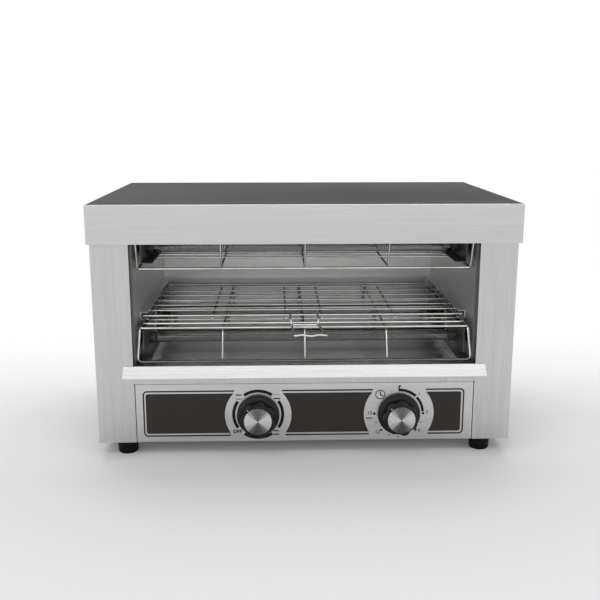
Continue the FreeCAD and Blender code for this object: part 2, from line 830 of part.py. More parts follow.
def drum(start_radius, start, end_radius, end, count=DRUM_FLATS):
    """A flat-sided drum along the Z axis, given by the radius of its corners at both ends."""
    angles = [math.pi * (2 * n + 1) / count for n in range(count)]
    rings = []
    for radius, level in ((start_radius, start), (end_radius, end)):
        corners = [Vector(radius * math.cos(angle), radius * math.sin(angle), level) for angle in angles]
        rings.append(Part.makePolygon(corners + corners[:1]))
    return Part.makeLoft(rings, True, True)


def make_tube_caps():
    """Ceramic end caps: a cup for the tube, a stout body and a neck that passes through the cavity wall."""
    radius = float(size.cap_diameter) / 2
    cup = float(size.tube_outside / 2 + size.running_gap) / math.cos(math.pi / DRUM_FLATS)
    inner = float(at.cap_inner)
    seat = float(at.tube_half + size.running_gap)
    outer = float(at.cap_outer)
    neck = float(size.cap_neck) / 2
    end = float(at.liner_half + size.pin_proud)
    cap = drum(radius, inner, radius, outer).fuse(drum(neck, (seat + outer) / 2, neck, end))
    cap = cap.cut(drum(cup, inner - 1, cup, seat))
    solids = []
    for depth in guard_depths.values():
        for height in tube_heights.values():
            spot = Vector(0, float(depth), float(height))
            solids += [moved(cap, Placement(spot, Rotation(Z_AXIS, X_AXIS * sign))) for sign in (-1, 1)]
    group_of("tube_caps", solids)


def make_heating_coils():
    """The heating coils inside the tubes, as the plain rods that their turns fill."""
    half = float(at.tube_half)
    wire = float(size.coil_outside)
    solids = [straight_wire(wire, *(Vector(end * half, float(depth), float(height)) for end in (-1, 1)))
              for depth in guard_depths.values() for height in tube_heights.values()]
    group_of("heating_coils", solids)


def bracket_bends(level, sign):
    """The folds of a tube bracket: a shelf and a web above, a web and a channel below."""
    web = (at.cavity_half - size.bracket_web) * sign
    wall = (at.cavity_half - size.wall_gap) * sign
    clear = size.frame_wire / 2 + size.stay_wire + size.slide_gap
    if level == "upper":
        shelf = guard_heights["upper"] + clear
        weld = at.cavity_roof - size.sheet_metal
        return [(web - size.bracket_shelf * sign, shelf), (web, shelf), (web, weld), (wall, weld)], sign
    top = guard_heights["lower"] - clear
    foot = at.base + size.lower_bracket_foot
    return [(web, foot), (web, top), (wall, top), (wall, top - size.bracket_shelf)], -sign


def make_tube_brackets(level, side, sign):
    """Front and rear brackets of one side, each a folded strip with a hole that carries a tube's cap."""
    bends, thick_side = bracket_bends(level, sign)
    points = [Vector(float(across), 0, float(up)) for across, up in bends]
    steps = [(end - start).normalize() for start, end in zip(points, points[1:])]
    normals = [Vector(-step.z, 0, step.x) * thick_side for step in steps]
    offsets = [normals[0]] + [a + b for a, b in zip(normals, normals[1:])] + [normals[-1]]
    other_face = [point + offset * float(size.sheet_metal) for point, offset in zip(points, offsets)]
    section = Part.Face(Part.makePolygon(points + other_face[::-1] + points[:1]))
    length = float(size.bracket_length)
    radius = float(size.cap_diameter / 2 + size.hole_gap) / math.cos(math.pi / HOLE_FLATS)
    punch = drum(radius, float(at.cavity_half) / 2, radius, float(at.cavity_half), HOLE_FLATS)
    solids = []
    for depth in guard_depths.values():
        strip = section.extrude(Vector(0, length, 0))
        strip.translate(Vector(0, float(depth) - length / 2, 0))
        spot = Vector(0, float(depth), float(tube_heights[level]))
        solids.append(strip.cut(moved(punch, Placement(spot, Rotation(Z_AXIS, X_AXIS * sign)))))
    group_of(f"tube_brackets_{level}_{side}", solids)


def make_crumb_tray():
    """Pressed tray: a flat rim, a well with round corners and a wide lip leaning forward over the front."""
    body = new_body("crumb_tray")
    edge = size.sheet_metal
    front = at.case_front - size.panel_gap
    rear = at.cavity_rear - size.tray_rear_gap
    ledge = at.cavity_half - size.tray_side_gap
    well = ledge - size.tray_shelf
    rim = sketch_on(body, "XY_Plane", at.tray_rim - edge)
    rectangle(rim, -ledge, front, ledge, rear)
    pad(body, rim, edge)
    well_front = at.hood_front + size.tray_front
    well_rear = rear - size.tray_corner
    basin = sketch_on(body, "XY_Plane", at.tray_floor)
    rectangle(basin, -well - edge, well_front - edge, well + edge, well_rear + edge)
    pad(body, basin, at.tray_rim - at.tray_floor)
    hollow = sketch_on(body, "XY_Plane", at.tray_rim)
    rectangle(hollow, -well, well_front, well, well_rear)
    cut(body, hollow, at.tray_rim - at.tray_floor - edge)
    well_side = float(well)
    well_floor = float(at.tray_floor + edge)
    fillet(body, size.tray_corner, lambda line: runs_along(line, Z_AXIS)
           and abs(abs(line.BoundBox.XMax) - well_side) < 0.1 and abs(line.BoundBox.ZMin - well_floor) < 0.1)
    underside = float(at.tray_floor)
    fillet(body, size.tray_corner + edge, lambda line: runs_along(line, Z_AXIS)
           and abs(line.BoundBox.ZMin - underside) < 0.1)
    lip = sketch_on(body, "YZ_Plane", 0)
    low = at.tray_rim - size.tray_lip_drop
    lean = front - size.tray_lip_lean
    polygon(lip, [(front, at.tray_rim), (front - edge, at.tray_rim), (lean, low), (lean + edge, low),
                  (front, at.tray_rim - edge)])
    pad(body, lip, size.tray_lip_width, both_ways=True)
    ends = sketch_on(body, "XZ_Plane", 0)
    half = size.tray_lip_width / 2
    corner = size.tray_lip_corner
    for sign in SIDES.values():
        polygon(ends, [((half - size.tray_lip_taper) * sign, at.tray_rim + 1),
                       ((half - size.tray_lip_taper) * sign, at.tray_rim), (half * sign, low + corner),
                       ((half - corner) * sign, low), ((half - corner) * sign, low - 1),
                       ((half + 1) * sign, low - 1), ((half + 1) * sign, at.tray_rim + 1)])
    cut(body, ends)


def make_tray_runner(side, sign):
    """Angle that carries one side of the crumb tray, standing on the heat shield against the cavity wall."""
    body = new_body(f"tray_runner_{side}")
    start = at.hood_front + size.runner_start
    profile = sketch_on(body, "XZ_Plane", start)
    wall = (at.cavity_half - size.wall_gap) * sign
    tip = (at.cavity_half - size.runner_shelf) * sign
    folded(profile, [(wall, at.cavity_floor), (wall, at.runner_top), (tip, at.runner_top)], sign)
    pad(body, profile, at.cavity_rear - size.tray_rear_gap - start, backwards=True)


def make_foot(label, across, depth):
    """Moulded rubber foot: a short cone with a recess for its screw."""
    body = new_body(label)
    rings = []
    for height, diameter in ((0, size.foot_bottom), (size.foot_height, size.foot_top)):
        ring = sketch_on(body, "XY_Plane", height, across=across, up=depth)
        regular(ring, 0, 0, diameter / 2, DRUM_FLATS)
        rings.append(ring)
    cone = body.newObject("PartDesign::AdditiveLoft", "cone")
    cone.Profile, cone.Sections = rings[0], rings[1:]
    cone.Ruled = True
    document.recompute()
    recess = sketch_on(body, "XY_Plane", 0, across=across, up=depth)
    hole(recess, 0, 0, size.foot_recess / 2)
    cut(body, recess, size.foot_height - size.foot_web, backwards=True)
    shank = sketch_on(body, "XY_Plane", 0, across=across, up=depth)
    hole(shank, 0, 0, screw_hole)
    cut(body, shank)


def pan_screw(point, drive, length):
    """A pan-head screw with its head seated on a point, driven along a unit vector."""
    head = float(size.screw_head) / 2
    height = float(size.screw_head_height)
    shank = float(size.screw_diameter) / 2
    crown = drum(0.75 * head, -height, head, 0, HOLE_FLATS)
    stem = drum(shank, -height / 2, shank, length, WIRE_FLATS)
    return moved(crown.fuse(stem), Placement(point, Rotation(Z_AXIS, drive)))


def make_screws():
    """The screws that hold the hood, the back panel and the feet, one group for each place."""
    half = float(size.hood_width) / 2
    length = float(size.screw_length)
    level = float(at.hood_screw)
    group_of("hood_screws", [pan_screw(Vector(sign * half, float(depth), level), X_AXIS * -sign, length)
                             for sign in SIDES.values() for depth in hood_screw_depths])
    column = float(at.back_screw)
    rear = float(at.case_rear)
    group_of("back_screws", [pan_screw(Vector(sign * column, rear, float(height)), Y_AXIS * -1, length)
                             for sign in SIDES.values() for height in back_screw_heights])
    web = float(size.foot_web)
    seat = float(at.base) - web
    group_of("foot_screws", [pan_screw(Vector(float(across), float(depth), seat), Z_AXIS, length + web)
                             for across, depth in foot_places.values()])


def make_knob(label, across):
    """Moulded knob: a flat skirt, a tapered grip with flutes between its lobes and a recess for its cap."""
    body = new_body(f"{label}_knob")
    profile = sketch_on(body, "YZ_Plane", across, up=at.knob_axis)
    rear = at.case_front - size.knob_standoff
    rim_face = rear - size.skirt_rim
    grip_foot = rim_face - size.skirt_rise
    grip_face = grip_foot - size.grip_depth
    recess = grip_face + size.cap_disc_depth
    recess_radius = size.cap_disc / 2 + size.running_gap
    bore = size.shaft_diameter / 2 + size.running_gap
    bore_end = recess + size.knob_web
    rim = size.skirt_diameter / 2
    outline = [(rear, bore), (rear, rim), (rim_face, rim), (grip_foot, size.skirt_step / 2),
               (grip_foot, size.grip_back / 2), (grip_face, size.grip_front / 2), (grip_face, recess_radius),
               (recess, recess_radius), (recess, 0), (bore_end, 0), (bore_end, bore)]
    polygon(profile, outline)
    turn(body, profile, "H_Axis")
    flute = sketch_on(body, "XZ_Plane", grip_face, across=across, up=at.knob_axis)
    flute_axis = (size.grip_front + size.flute_diameter) / 2 - size.flute_depth
    angle = math.radians(90 + REST_ANGLE + 180 / LOBES)
    regular(flute, flute_axis * math.cos(angle), flute_axis * math.sin(angle), size.flute_diameter / 2,
            DRUM_FLATS)
    first = cut(body, flute, size.grip_depth)
    around = body.newObject("PartDesign::PolarPattern", "flutes")
    around.Originals = [first]
    around.Axis = (flute, ["N_Axis"])
    around.Angle = 360
    around.Occurrences = LOBES
    body.Tip = around
    document.recompute()


def make_knob_cap(label, across):
    """Turned aluminium disc pressed into the knob's recess, its rim chamfered."""
    body = new_body(f"{label}_cap")
    profile = sketch_on(body, "YZ_Plane", across, up=at.knob_axis)
    seat = at.knob_face + size.cap_disc_depth
    front = at.knob_face - size.cap_disc_proud
    radius = size.cap_disc / 2
    polygon(profile, [(seat, 0), (seat, radius), (front + size.cap_disc_edge, radius),
                      (front, radius - size.cap_disc_edge), (front, 0)])
    turn(body, profile, "H_Axis")


def make_shaft(label, across, inside):
    """Control shaft with a flat at the knob's end, from inside the control to near the knob's face."""
    body = new_body(f"{label}_shaft")
    tip = at.knob_face + size.cap_disc_depth + size.knob_web + size.running_gap
    end = at.frame_rear + inside
    section = sketch_on(body, "XZ_Plane", tip, across=across, up=at.knob_axis)
    circle(section, 0, 0, size.shaft_diameter / 2)
    pad(body, section, end - tip, backwards=True)
    flat = sketch_on(body, "XZ_Plane", tip, across=across, up=at.knob_axis)
    reach = size.shaft_diameter
    rectangle(flat, -reach, size.shaft_diameter / 2 - size.shaft_flat, reach, reach)
    cut(body, flat, size.shaft_flat_length)


def bushed_body(label, across, outline):
    """A control's housing turned about its shaft, with a bush that passes through the panel."""
    body = new_body(label)
    profile = sketch_on(body, "YZ_Plane", across, up=at.knob_axis)
    bush = size.bush_diameter / 2
    bore = size.shaft_diameter / 2 + size.running_gap
    bush_face = at.case_front - size.knob_standoff / 2
    bore_end = at.frame_rear + size.shaft_depth + size.running_gap
    polygon(profile, [(bush_face, bore), (bush_face, bush), (at.frame_rear, bush)] + outline
            + [(bore_end, 0), (bore_end, bore)])
    turn(body, profile, "H_Axis")
    return body


def make_selector_switch():
    """Rotary switch: round moulded housing with five tab terminals."""
    rear = at.frame_rear + size.switch_depth
    radius = size.switch_diameter / 2
    housing = [(at.frame_rear, radius), (rear, radius), (rear, 0)]
    body = bushed_body("selector_switch", size.selector_place, housing)
    add_plate(body, size.selector_place, size.switch_plate)
    tabs = sketch_on(body, "XZ_Plane", rear, across=size.selector_place, up=at.knob_axis)
    for step_number in range(-2, 3):
        centre = size.tab_pitch * step_number
        rectangle(tabs, centre - 0.4, -3.15, centre + 0.4, 3.15)
    pad(body, tabs, size.tab_length, backwards=True)


def add_plate(body, across, width):
    """The square mounting plate of a control, behind the panel."""
    plate = sketch_on(body, "XZ_Plane", at.frame_rear, across=across, up=at.knob_axis)
    half = width / 2
    rectangle(plate, -half, -half, half, half)
    circle(plate, 0, 0, size.bush_diameter / 2)
    pad(body, plate, size.sheet_metal, backwards=True)


def make_timer_body():
    """Clockwork timer: round case with its bell, a shallow cup, behind it."""
    case = at.frame_rear + size.timer_depth
    radius = size.timer_diameter / 2
    bell = case + size.bell_depth
    gong = radius - size.bell_step
    housing = [(at.frame_rear, radius), (case, radius), (case, gong), (bell, gong), (bell, 0)]
    body = bushed_body("timer_body", size.timer_place, housing)
    add_plate(body, size.timer_place, size.timer_plate)


def make_terminal_block():
    """Three-way ceramic terminal block on the base plate, each pole with a wire hole and a screw well."""
    body = new_body("terminal_block")
    depth = at.case_rear - size.block_setback
    bottom = at.base + size.sheet_metal
    outline = sketch_on(body, "YZ_Plane", size.block_place)
    half = size.block_depth / 2
    top = bottom + size.block_height
    ledge = bottom + size.block_height * 0.6
    polygon(outline, [(depth - half, bottom), (depth + half, bottom), (depth + half, ledge),
                      (depth + half / 2, top), (depth - half / 2, top), (depth - half, ledge)])
    pad(body, outline, 3 * size.pole_pitch, both_ways=True)
    wells = sketch_on(body, "XY_Plane", top)
    holes = sketch_on(body, "XZ_Plane", depth)
    for pole in (-1, 0, 1):
        across = size.block_place + size.pole_pitch * pole
        hole(wells, across, depth, size.screw_diameter / 2 + 0.5)
        hole(holes, across, bottom + size.block_height * 0.35, size.screw_diameter / 2)
    cut(body, wells, size.block_height / 2)
    cut(body, holes)


def make_earth_stud():
    """Earth stud through the base plate, with its hexagon nut."""
    body = new_body("earth_stud")
    depth = at.case_rear - size.block_setback
    bottom = at.base + size.sheet_metal
    nut = sketch_on(body, "XY_Plane", bottom)
    regular(nut, size.stud_place, depth, size.stud_diameter * 0.8, 6)
    pad(body, nut, size.stud_diameter * 0.8)
    stud = sketch_on(body, "XY_Plane", bottom)
    circle(stud, size.stud_place, depth, size.stud_diameter / 2)
    pad(body, stud, size.stud_diameter * 3)


def make_cable_gland():
    """Cable gland through the back panel: a threaded body, a hexagon collar and a cone with an open bore."""
    body = new_body("cable_gland")
    height = at.base + size.gland_height
    profile = sketch_on(body, "YZ_Plane", size.gland_place, up=height)
    bore = size.gland_bore / 2
    thread = size.gland_diameter / 2
    end = at.hood_rear + size.gland_reach
    collar = at.case_rear + size.gland_collar
    inner = at.case_rear - size.sheet_metal - size.gland_thread
    polygon(profile, [(inner, bore), (inner, thread), (collar, thread), (end - 4, thread), (end, bore + 1.5),
                      (end, bore)])
    turn(body, profile, "H_Axis")
    flats = sketch_on(body, "XZ_Plane", at.case_rear, across=size.gland_place, up=height)
    regular(flats, 0, 0, thread + 2.6, 6)
    circle(flats, 0, 0, bore)
    pad(body, flats, size.gland_collar, backwards=True)
    nut = new_body("gland_nut")
    ring = sketch_on(nut, "XZ_Plane", at.case_rear - size.sheet_metal, across=size.gland_place, up=height)
    regular(ring, 0, 0, thread + 2.6, 6)
    circle(ring, 0, 0, thread + size.running_gap)
    pad(nut, ring, size.gland_collar)


make_hood()
make_front_frame()
make_back_panel()
make_base_plate()
make_control_panel()
make_liner_back()
make_liner_roof()
make_heat_shield()
for side, sign in SIDES.items():
    make_side_panel(side, sign)
    make_liner_side(side, sign)
    make_rack_rail(side, sign)
    make_tray_runner(side, sign)
make_rack()
make_rack_handle()
make_crumb_tray()
for level, opens in (("lower", -1), ("upper", 1)):
    for end, depth in guard_depths.items():
        make_guard(f"{level}_{end}_guard", guard_heights[level], depth, opens)
        make_tube(f"{level}_{end}_tube", depth, tube_heights[level])
    for side, sign in SIDES.items():
        make_tube_brackets(level, side, sign)
make_tube_caps()
make_heating_coils()
for label, across in (("selector", size.selector_place), ("timer", size.timer_place)):
    make_knob(label, across)
    make_knob_cap(label, across)
    make_shaft(label, across, size.shaft_depth)
make_selector_switch()
make_timer_body()
make_terminal_block()
make_earth_stud()
make_cable_gland()
for label, (across, depth) in foot_places.items():
    make_foot(label, across, depth)
make_screws()
document.recompute()

for item in document.Objects:
    if "Invalid" in item.State or "Error" in item.State:
        raise RuntimeError(f"{item.Label} could not be built: {item.State}")
for item in sub_parts:
    if item.Shape.isNull() or not item.Shape.isValid():
        raise RuntimeError(f"{item.Label} is not a valid solid")
os.makedirs("parts", exist_ok=True)
for item in sub_parts:
    item.Shape.exportStep(f"parts/{item.Label}.step")
    print(f"{item.Label}: {len(item.Shape.Solids)} solid(s), {item.Shape.Volume:.1f} mm3")
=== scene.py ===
import math

import bmesh
import bpy
from mathutils import Matrix, Vector


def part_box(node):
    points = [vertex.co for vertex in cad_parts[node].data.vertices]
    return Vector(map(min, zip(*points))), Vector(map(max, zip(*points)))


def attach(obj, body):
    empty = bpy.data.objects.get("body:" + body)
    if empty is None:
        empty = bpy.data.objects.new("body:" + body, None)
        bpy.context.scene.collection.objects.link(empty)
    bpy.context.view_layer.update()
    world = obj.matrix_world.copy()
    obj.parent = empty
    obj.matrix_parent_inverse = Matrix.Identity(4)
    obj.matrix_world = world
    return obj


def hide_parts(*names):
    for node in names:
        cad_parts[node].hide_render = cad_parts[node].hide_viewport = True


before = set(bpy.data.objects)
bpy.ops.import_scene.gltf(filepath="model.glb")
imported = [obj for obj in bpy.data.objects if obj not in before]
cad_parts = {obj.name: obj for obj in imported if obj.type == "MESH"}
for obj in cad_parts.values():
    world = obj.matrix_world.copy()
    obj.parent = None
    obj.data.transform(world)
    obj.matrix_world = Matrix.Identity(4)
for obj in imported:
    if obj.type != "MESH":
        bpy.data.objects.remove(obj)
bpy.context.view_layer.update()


# The photographer's table
# A white sweep in a pale room under plain studio light: a wide soft lamp overhead, a strip lamp above the
# camera and a weak lamp on each side. The camera has a 50 mm lens and stands a little left of the middle,
# just above the height of the hood.
MM = 0.001
CAMERA_PLACE = (-0.03259, -1.04692, 0.38622)
CAMERA_TURN = 1.679
CAMERA_DIP = 12.514
SWEEP_WHITE = "F0F0F0"
SWEEP_HALF = 12
# The paper turns plain white between these depths in metres, behind the toaster and behind the camera.
WHITE_BEYOND = ((-0.05, 0.42), (-1.4, -3.4))
ROOM_WHITE = "FFFFFF"
ROOM_OVERHEAD = "A8A8A8"
ROOM_LEVEL = 1.02
# Each lamp's place, the point it faces, its width and height in metres, and its power.
LAMPS = {
    "overhead": ((0.0, 0.68, 1.9), (0.0, 0.0, 0.0), (2.0, 1.2), 22.0),
    "strip": ((-0.05, -1.25, 1.35), (0.0, -0.14, 0.1), (2.4, 0.4), 4.6),
    "left": ((-1.7, -0.8, 0.9), (0.0, 0.0, 0.15), (0.8, 1.0), 1.6),
    "right": ((1.7, -0.8, 0.9), (0.0, 0.0, 0.15), (0.8, 1.0), 0.7),
}


def linear(hex_colour):
    """An sRGB hex colour as linear red, green, blue and full alpha."""
    parts = [int(hex_colour[n:n + 2], 16) / 255 for n in (0, 2, 4)]
    return tuple(c / 12.92 if c <= 0.04045 else ((c + 0.055) / 1.055) ** 2.4 for c in parts) + (1.0,)


def add(tree, kind, inputs=None, stops=(), **settings):
    """Adds a node with its settings, its inputs' values or links, and a ramp's (position, colour) stops."""
    node = tree.nodes.new(kind)
    for name, value in settings.items():
        setattr(node, name, value)
    for name, value in (inputs or {}).items():
        if isinstance(value, bpy.types.NodeSocket):
            tree.links.new(value, node.inputs[name])
        else:
            node.inputs[name].default_value = value
    for n, (position, colour) in enumerate(stops):
        elements = node.color_ramp.elements
        element = elements[n] if n < 2 else elements.new(position)
        element.position = position
        element.color = linear(colour)
    return node


def blank_material(name):
    """A material and its empty node tree."""
    material = bpy.data.materials.new(name)
    material.use_nodes = True
    material.node_tree.nodes.clear()
    return material, material.node_tree


camera = bpy.data.objects.new("studio_camera", bpy.data.cameras.new("studio_camera"))
bpy.context.scene.collection.objects.link(camera)
camera.location = CAMERA_PLACE
camera.rotation_euler = (math.radians(90 - CAMERA_DIP), 0, math.radians(-CAMERA_TURN))
camera.data.lens = 50
camera.data.sensor_width = 36
camera.data.clip_start = 0.02
camera.data.clip_end = 60
bpy.context.scene.camera = camera
bpy.context.scene.view_settings.view_transform = "Standard"

world = bpy.data.worlds.new("pale_room")
bpy.context.scene.world = world
world.use_nodes = True
room = world.node_tree
room.nodes.clear()
direction = add(room, "ShaderNodeTexCoord").outputs["Generated"]
height = add(room, "ShaderNodeSeparateXYZ", {"Vector": direction}).outputs["Z"]
room_stops = [(0.12, ROOM_WHITE), (0.75, ROOM_OVERHEAD)]
room_colour = add(room, "ShaderNodeValToRGB", {"Fac": height}, room_stops).outputs["Color"]
room_light = add(room, "ShaderNodeBackground", {"Color": room_colour, "Strength": ROOM_LEVEL})
add(room, "ShaderNodeOutputWorld", {"Surface": room_light.outputs[0]})

for lamp, (place, target, (wide, tall), power) in LAMPS.items():
    data = bpy.data.lights.new(f"softbox_{lamp}", "AREA")
    data.shape = "RECTANGLE"
    data.size = wide
    data.size_y = tall
    data.energy = power
    softbox = bpy.data.objects.new(f"softbox_{lamp}", data)
    softbox.location = place
    softbox.rotation_euler = (Vector(target) - Vector(place)).to_track_quat("-Z", "Y").to_euler()
    bpy.context.scene.collection.objects.link(softbox)

mesh = bpy.data.meshes.new("sweep")
corners = [(x * SWEEP_HALF, y * SWEEP_HALF, 0) for x, y in ((-1, -1), (1, -1), (1, 1), (-1, 1))]
mesh.from_pydata(corners, [], [(0, 1, 2, 3)])
sweep = bpy.data.objects.new("sweep", mesh)
bpy.context.scene.collection.objects.link(sweep)
# Matt white paper: it takes soft shadows near the toaster and is plain white further off, and metal and
# glass show that white too.
paper, tree = blank_material("white_paper_sweep")
matte = add(tree, "ShaderNodeBsdfDiffuse", {"Color": linear(SWEEP_WHITE), "Roughness": 0.6}).outputs[0]
white = add(tree, "ShaderNodeEmission", {"Color": linear(ROOM_WHITE), "Strength": 1.0}).outputs[0]
spot = add(tree, "ShaderNodeTexCoord").outputs["Object"]
depth = add(tree, "ShaderNodeSeparateXYZ", {"Vector": spot}).outputs["Y"]
fades = [add(tree, "ShaderNodeMapRange", {"Value": depth, "From Min": start, "From Max": end},
             interpolation_type="SMOOTHSTEP").outputs["Result"] for start, end in WHITE_BEYOND]
fade = add(tree, "ShaderNodeMath", {0: fades[0], 1: fades[1]}, operation="ADD").outputs[0]
rays = add(tree, "ShaderNodeLightPath").outputs
seen = add(tree, "ShaderNodeMath", {0: rays["Is Camera Ray"], 1: rays["Is Glossy Ray"]}, operation="ADD")
seen = add(tree, "ShaderNodeMath", {0: seen.outputs[0], 1: rays["Is Transmission Ray"]}, operation="ADD",
           use_clamp=True)
share = add(tree, "ShaderNodeMath", {0: fade, 1: seen.outputs[0]}, operation="MULTIPLY").outputs[0]
blend = add(tree, "ShaderNodeMixShader", {0: share, 1: matte, 2: white})
add(tree, "ShaderNodeOutputMaterial", {"Surface": blend.outputs[0]})
sweep.data.materials.append(paper)


# Cabinet
# The front sheet is brushed upright and has the toasting opening with a flange turned back round it. The
# side sheets, the back with its cooling slots and the bottom are folded from the same stainless steel.
PILLAR_LIGHT = "D2D2D2"
PILLAR_DARK = "C4C4C4"
# Painted shade for the faces of the front sheet that turn away from the front, such as the flange.
FLANGE_PAINTED_SHADE = "C0C0C0"
CASE_LIGHT = "CCCCCC"
CASE_DARK = "B8B8B8"
# Lines brushed with a belt are about 0.1 mm wide. They are drawn this wide, in mm, so that they show.
GRAIN_WIDTH = 1.3
GRAIN_LENGTH = 70.0
BROAD_GRAIN = 0.23
FOLD_ANGLE = 32
# Nearly all of a noise texture's values lie between these.
NOISE_LOW = 0.3
NOISE_HIGH = 0.7
# A face's direction along Z or Y, from where it starts to take the painted shade of the top or of the
# flange's turned faces, or the tone of a cut edge, to where it has it in full.
FACES_UP = (0.9, 0.999)
TURNS_BACK = (0.4, 0.2)
FACES_FRONT = (-0.8, -0.95)


def grain_vector(tree, along, width, length):
    """Coordinates in which noise draws lines along an axis; X turns to Y on faces that look sideways."""
    spot = add(tree, "ShaderNodeTexCoord").outputs["Object"]
    place = add(tree, "ShaderNodeSeparateXYZ", {"Vector": spot}).outputs
    facing = add(tree, "ShaderNodeNewGeometry").outputs["Normal"]
    normal = add(tree, "ShaderNodeSeparateXYZ", {"Vector": facing}).outputs
    tilt = add(tree, "ShaderNodeMath", {0: normal["X"]}, operation="ABSOLUTE").outputs[0]
    sideways = add(tree, "ShaderNodeMath", {0: tilt, 1: 0.7}, operation="GREATER_THAN").outputs[0]
    fine = 1 / (width * MM)
    coarse = 1 / (length * MM)
    parts = dict(place.items())
    if along == "X":
        turned_x = add(tree, "ShaderNodeMix", {"Factor": sideways, "A": place["X"], "B": place["Y"]})
        rest = add(tree, "ShaderNodeMath", {0: 1.0, 1: sideways}, operation="SUBTRACT").outputs[0]
        turned_y = add(tree, "ShaderNodeMath", {0: place["Y"], 1: rest}, operation="MULTIPLY")
        parts.update(X=turned_x.outputs[0], Y=turned_y.outputs[0])
    scaled = {}
    for axis in "XYZ":
        factor = coarse if axis == along else fine
        stretched = add(tree, "ShaderNodeMath", {0: parts[axis], 1: factor}, operation="MULTIPLY")
        scaled[axis] = stretched.outputs[0]
    return add(tree, "ShaderNodeCombineXYZ", scaled).outputs[0]


def darkened(tree, colour, tone, value, start, end):
    """A colour multiplied by a darker tone, the more so the further a value lies between start and end."""
    factor = add(tree, "ShaderNodeMapRange", {"Value": value, "From Min": start, "From Max": end}).outputs[0]
    return add(tree, "ShaderNodeMix", {0: factor, 6: colour, 7: tone}, data_type="RGBA",
               blend_type="MULTIPLY").outputs[2]


def brushed_steel(name, light, dark, along="X", roughness=0.32, width=GRAIN_WIDTH, length=GRAIN_LENGTH,
                  top=None, painted_top_sheen=None, painted_flange_shade=None, cut_edge=None):
    """Steel with lines brushed along one axis: light and dark streaks, and ridges that catch the light."""
    material, tree = blank_material(name)
    vector = grain_vector(tree, along, width, length)
    fine = add(tree, "ShaderNodeTexNoise", {"Vector": vector, "Scale": 1.0, "Detail": 3.0, "Roughness": 0.6})
    wider = add(tree, "ShaderNodeVectorMath", {0: vector, 1: (BROAD_GRAIN,) * 3}, operation="MULTIPLY")
    broad = add(tree, "ShaderNodeTexNoise", {"Vector": wider.outputs[0], "Scale": 1.0, "Detail": 2.0})
    streaks = add(tree, "ShaderNodeMix", {"Factor": 0.35, "A": fine.outputs[0], "B": broad.outputs[0]})
    both = streaks.outputs[0]
    colour = add(tree, "ShaderNodeValToRGB", {"Fac": both}, [(0.32, dark), (0.68, light)]).outputs["Color"]
    normal = add(tree, "ShaderNodeNewGeometry").outputs["Normal"]
    facing = add(tree, "ShaderNodeSeparateXYZ", {"Vector": normal}).outputs
    rough = add(tree, "ShaderNodeMapRange", {"Value": both, "From Min": NOISE_LOW, "From Max": NOISE_HIGH,
                                             "To Min": roughness - 0.05, "To Max": roughness + 0.07})
    ridges = add(tree, "ShaderNodeBump", {"Height": both, "Strength": 0.2, "Distance": 0.02 * MM})
    surface = {"Metallic": 1.0, "Roughness": rough.outputs["Result"], "Normal": ridges.outputs[0]}
    # Painted shade: upward faces are darkened, more so towards the rear, and their flat-angle reflection too.
    if top:
        spot = add(tree, "ShaderNodeTexCoord").outputs["Object"]
        depth = add(tree, "ShaderNodeSeparateXYZ", {"Vector": spot}).outputs["Y"]
        back = add(tree, "ShaderNodeMapRange", {"Value": depth, "From Min": -0.15, "From Max": 0.15})
        painted_top_shade, edge = (add(tree, "ShaderNodeValToRGB", {"Fac": back.outputs[0]}, [(0.0, near), (1.0, far)])
                       for near, far in (top, painted_top_sheen))
        colour = darkened(tree, colour, painted_top_shade.outputs["Color"], facing["Z"], *FACES_UP)
        surface["Specular Tint"] = darkened(tree, linear("FFFFFF"), edge.outputs["Color"], facing["Z"],
                                            *FACES_UP)
    # Painted shade: faces that turn away from the front are darkened.
    if painted_flange_shade:
        turned_back = add(tree, "ShaderNodeMath", {0: facing["Y"]}, operation="ABSOLUTE").outputs[0]
        colour = darkened(tree, colour, linear(painted_flange_shade), turned_back, *TURNS_BACK)
    if cut_edge:
        colour = darkened(tree, colour, linear(cut_edge), facing["Y"], *FACES_FRONT)
    steel = add(tree, "ShaderNodeBsdfPrincipled", {**surface, "Base Color": colour})
    add(tree, "ShaderNodeOutputMaterial", {"Surface": steel.outputs[0]})
    return material


def dress(material, *nodes):
    """Gives carried-over nodes their material."""
    for name in nodes:
        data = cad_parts[name].data
        data.materials.clear()
        data.materials.append(material)


# Upright brushing draws each reflection out from top to bottom. The flange, in the opening's shade, is
# painted a duller grey on its turned faces as painted shade.
front_steel = brushed_steel("brushed_stainless_steel_front", PILLAR_LIGHT, PILLAR_DARK, along="Z",
                            painted_flange_shade=FLANGE_PAINTED_SHADE)
dress(front_steel, "front_frame")
# The same steel brushed along the width: long soft streaks, a little darker than the front.
case_steel = brushed_steel("brushed_stainless_steel_case", CASE_LIGHT, CASE_DARK)
dress(case_steel, "side_panel_left", "side_panel_right", "back_panel", "base_plate")
CASE_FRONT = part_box("front_frame")[0].y / MM
CASE_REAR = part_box("back_panel")[1].y / MM
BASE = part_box("front_frame")[0].z / MM


# Cavity lining
# Walls, roof, back, rails, runners and tube brackets of smooth mill-finish steel, spot-welded together.
# Years of heat leave it a warmer and duller grey than the outside. The back and the rails are painted
# lighter for the light on them, and the tube brackets darker for their shade.
LINER_LIGHT = "DEDEDD"
LINER_DARK = "D2D2D1"
CUT_EDGE = "9A9896"
PAINTED_LIT_BACK_LIGHT = "F4F4F3"
PAINTED_LIT_BACK_DARK = "EAEAE9"
# Painted shade: the dark tones of the tube brackets.
BRACKET_PAINTED_SHADE_LIGHT = "8C8884"
BRACKET_PAINTED_SHADE_DARK = "6E6A66"

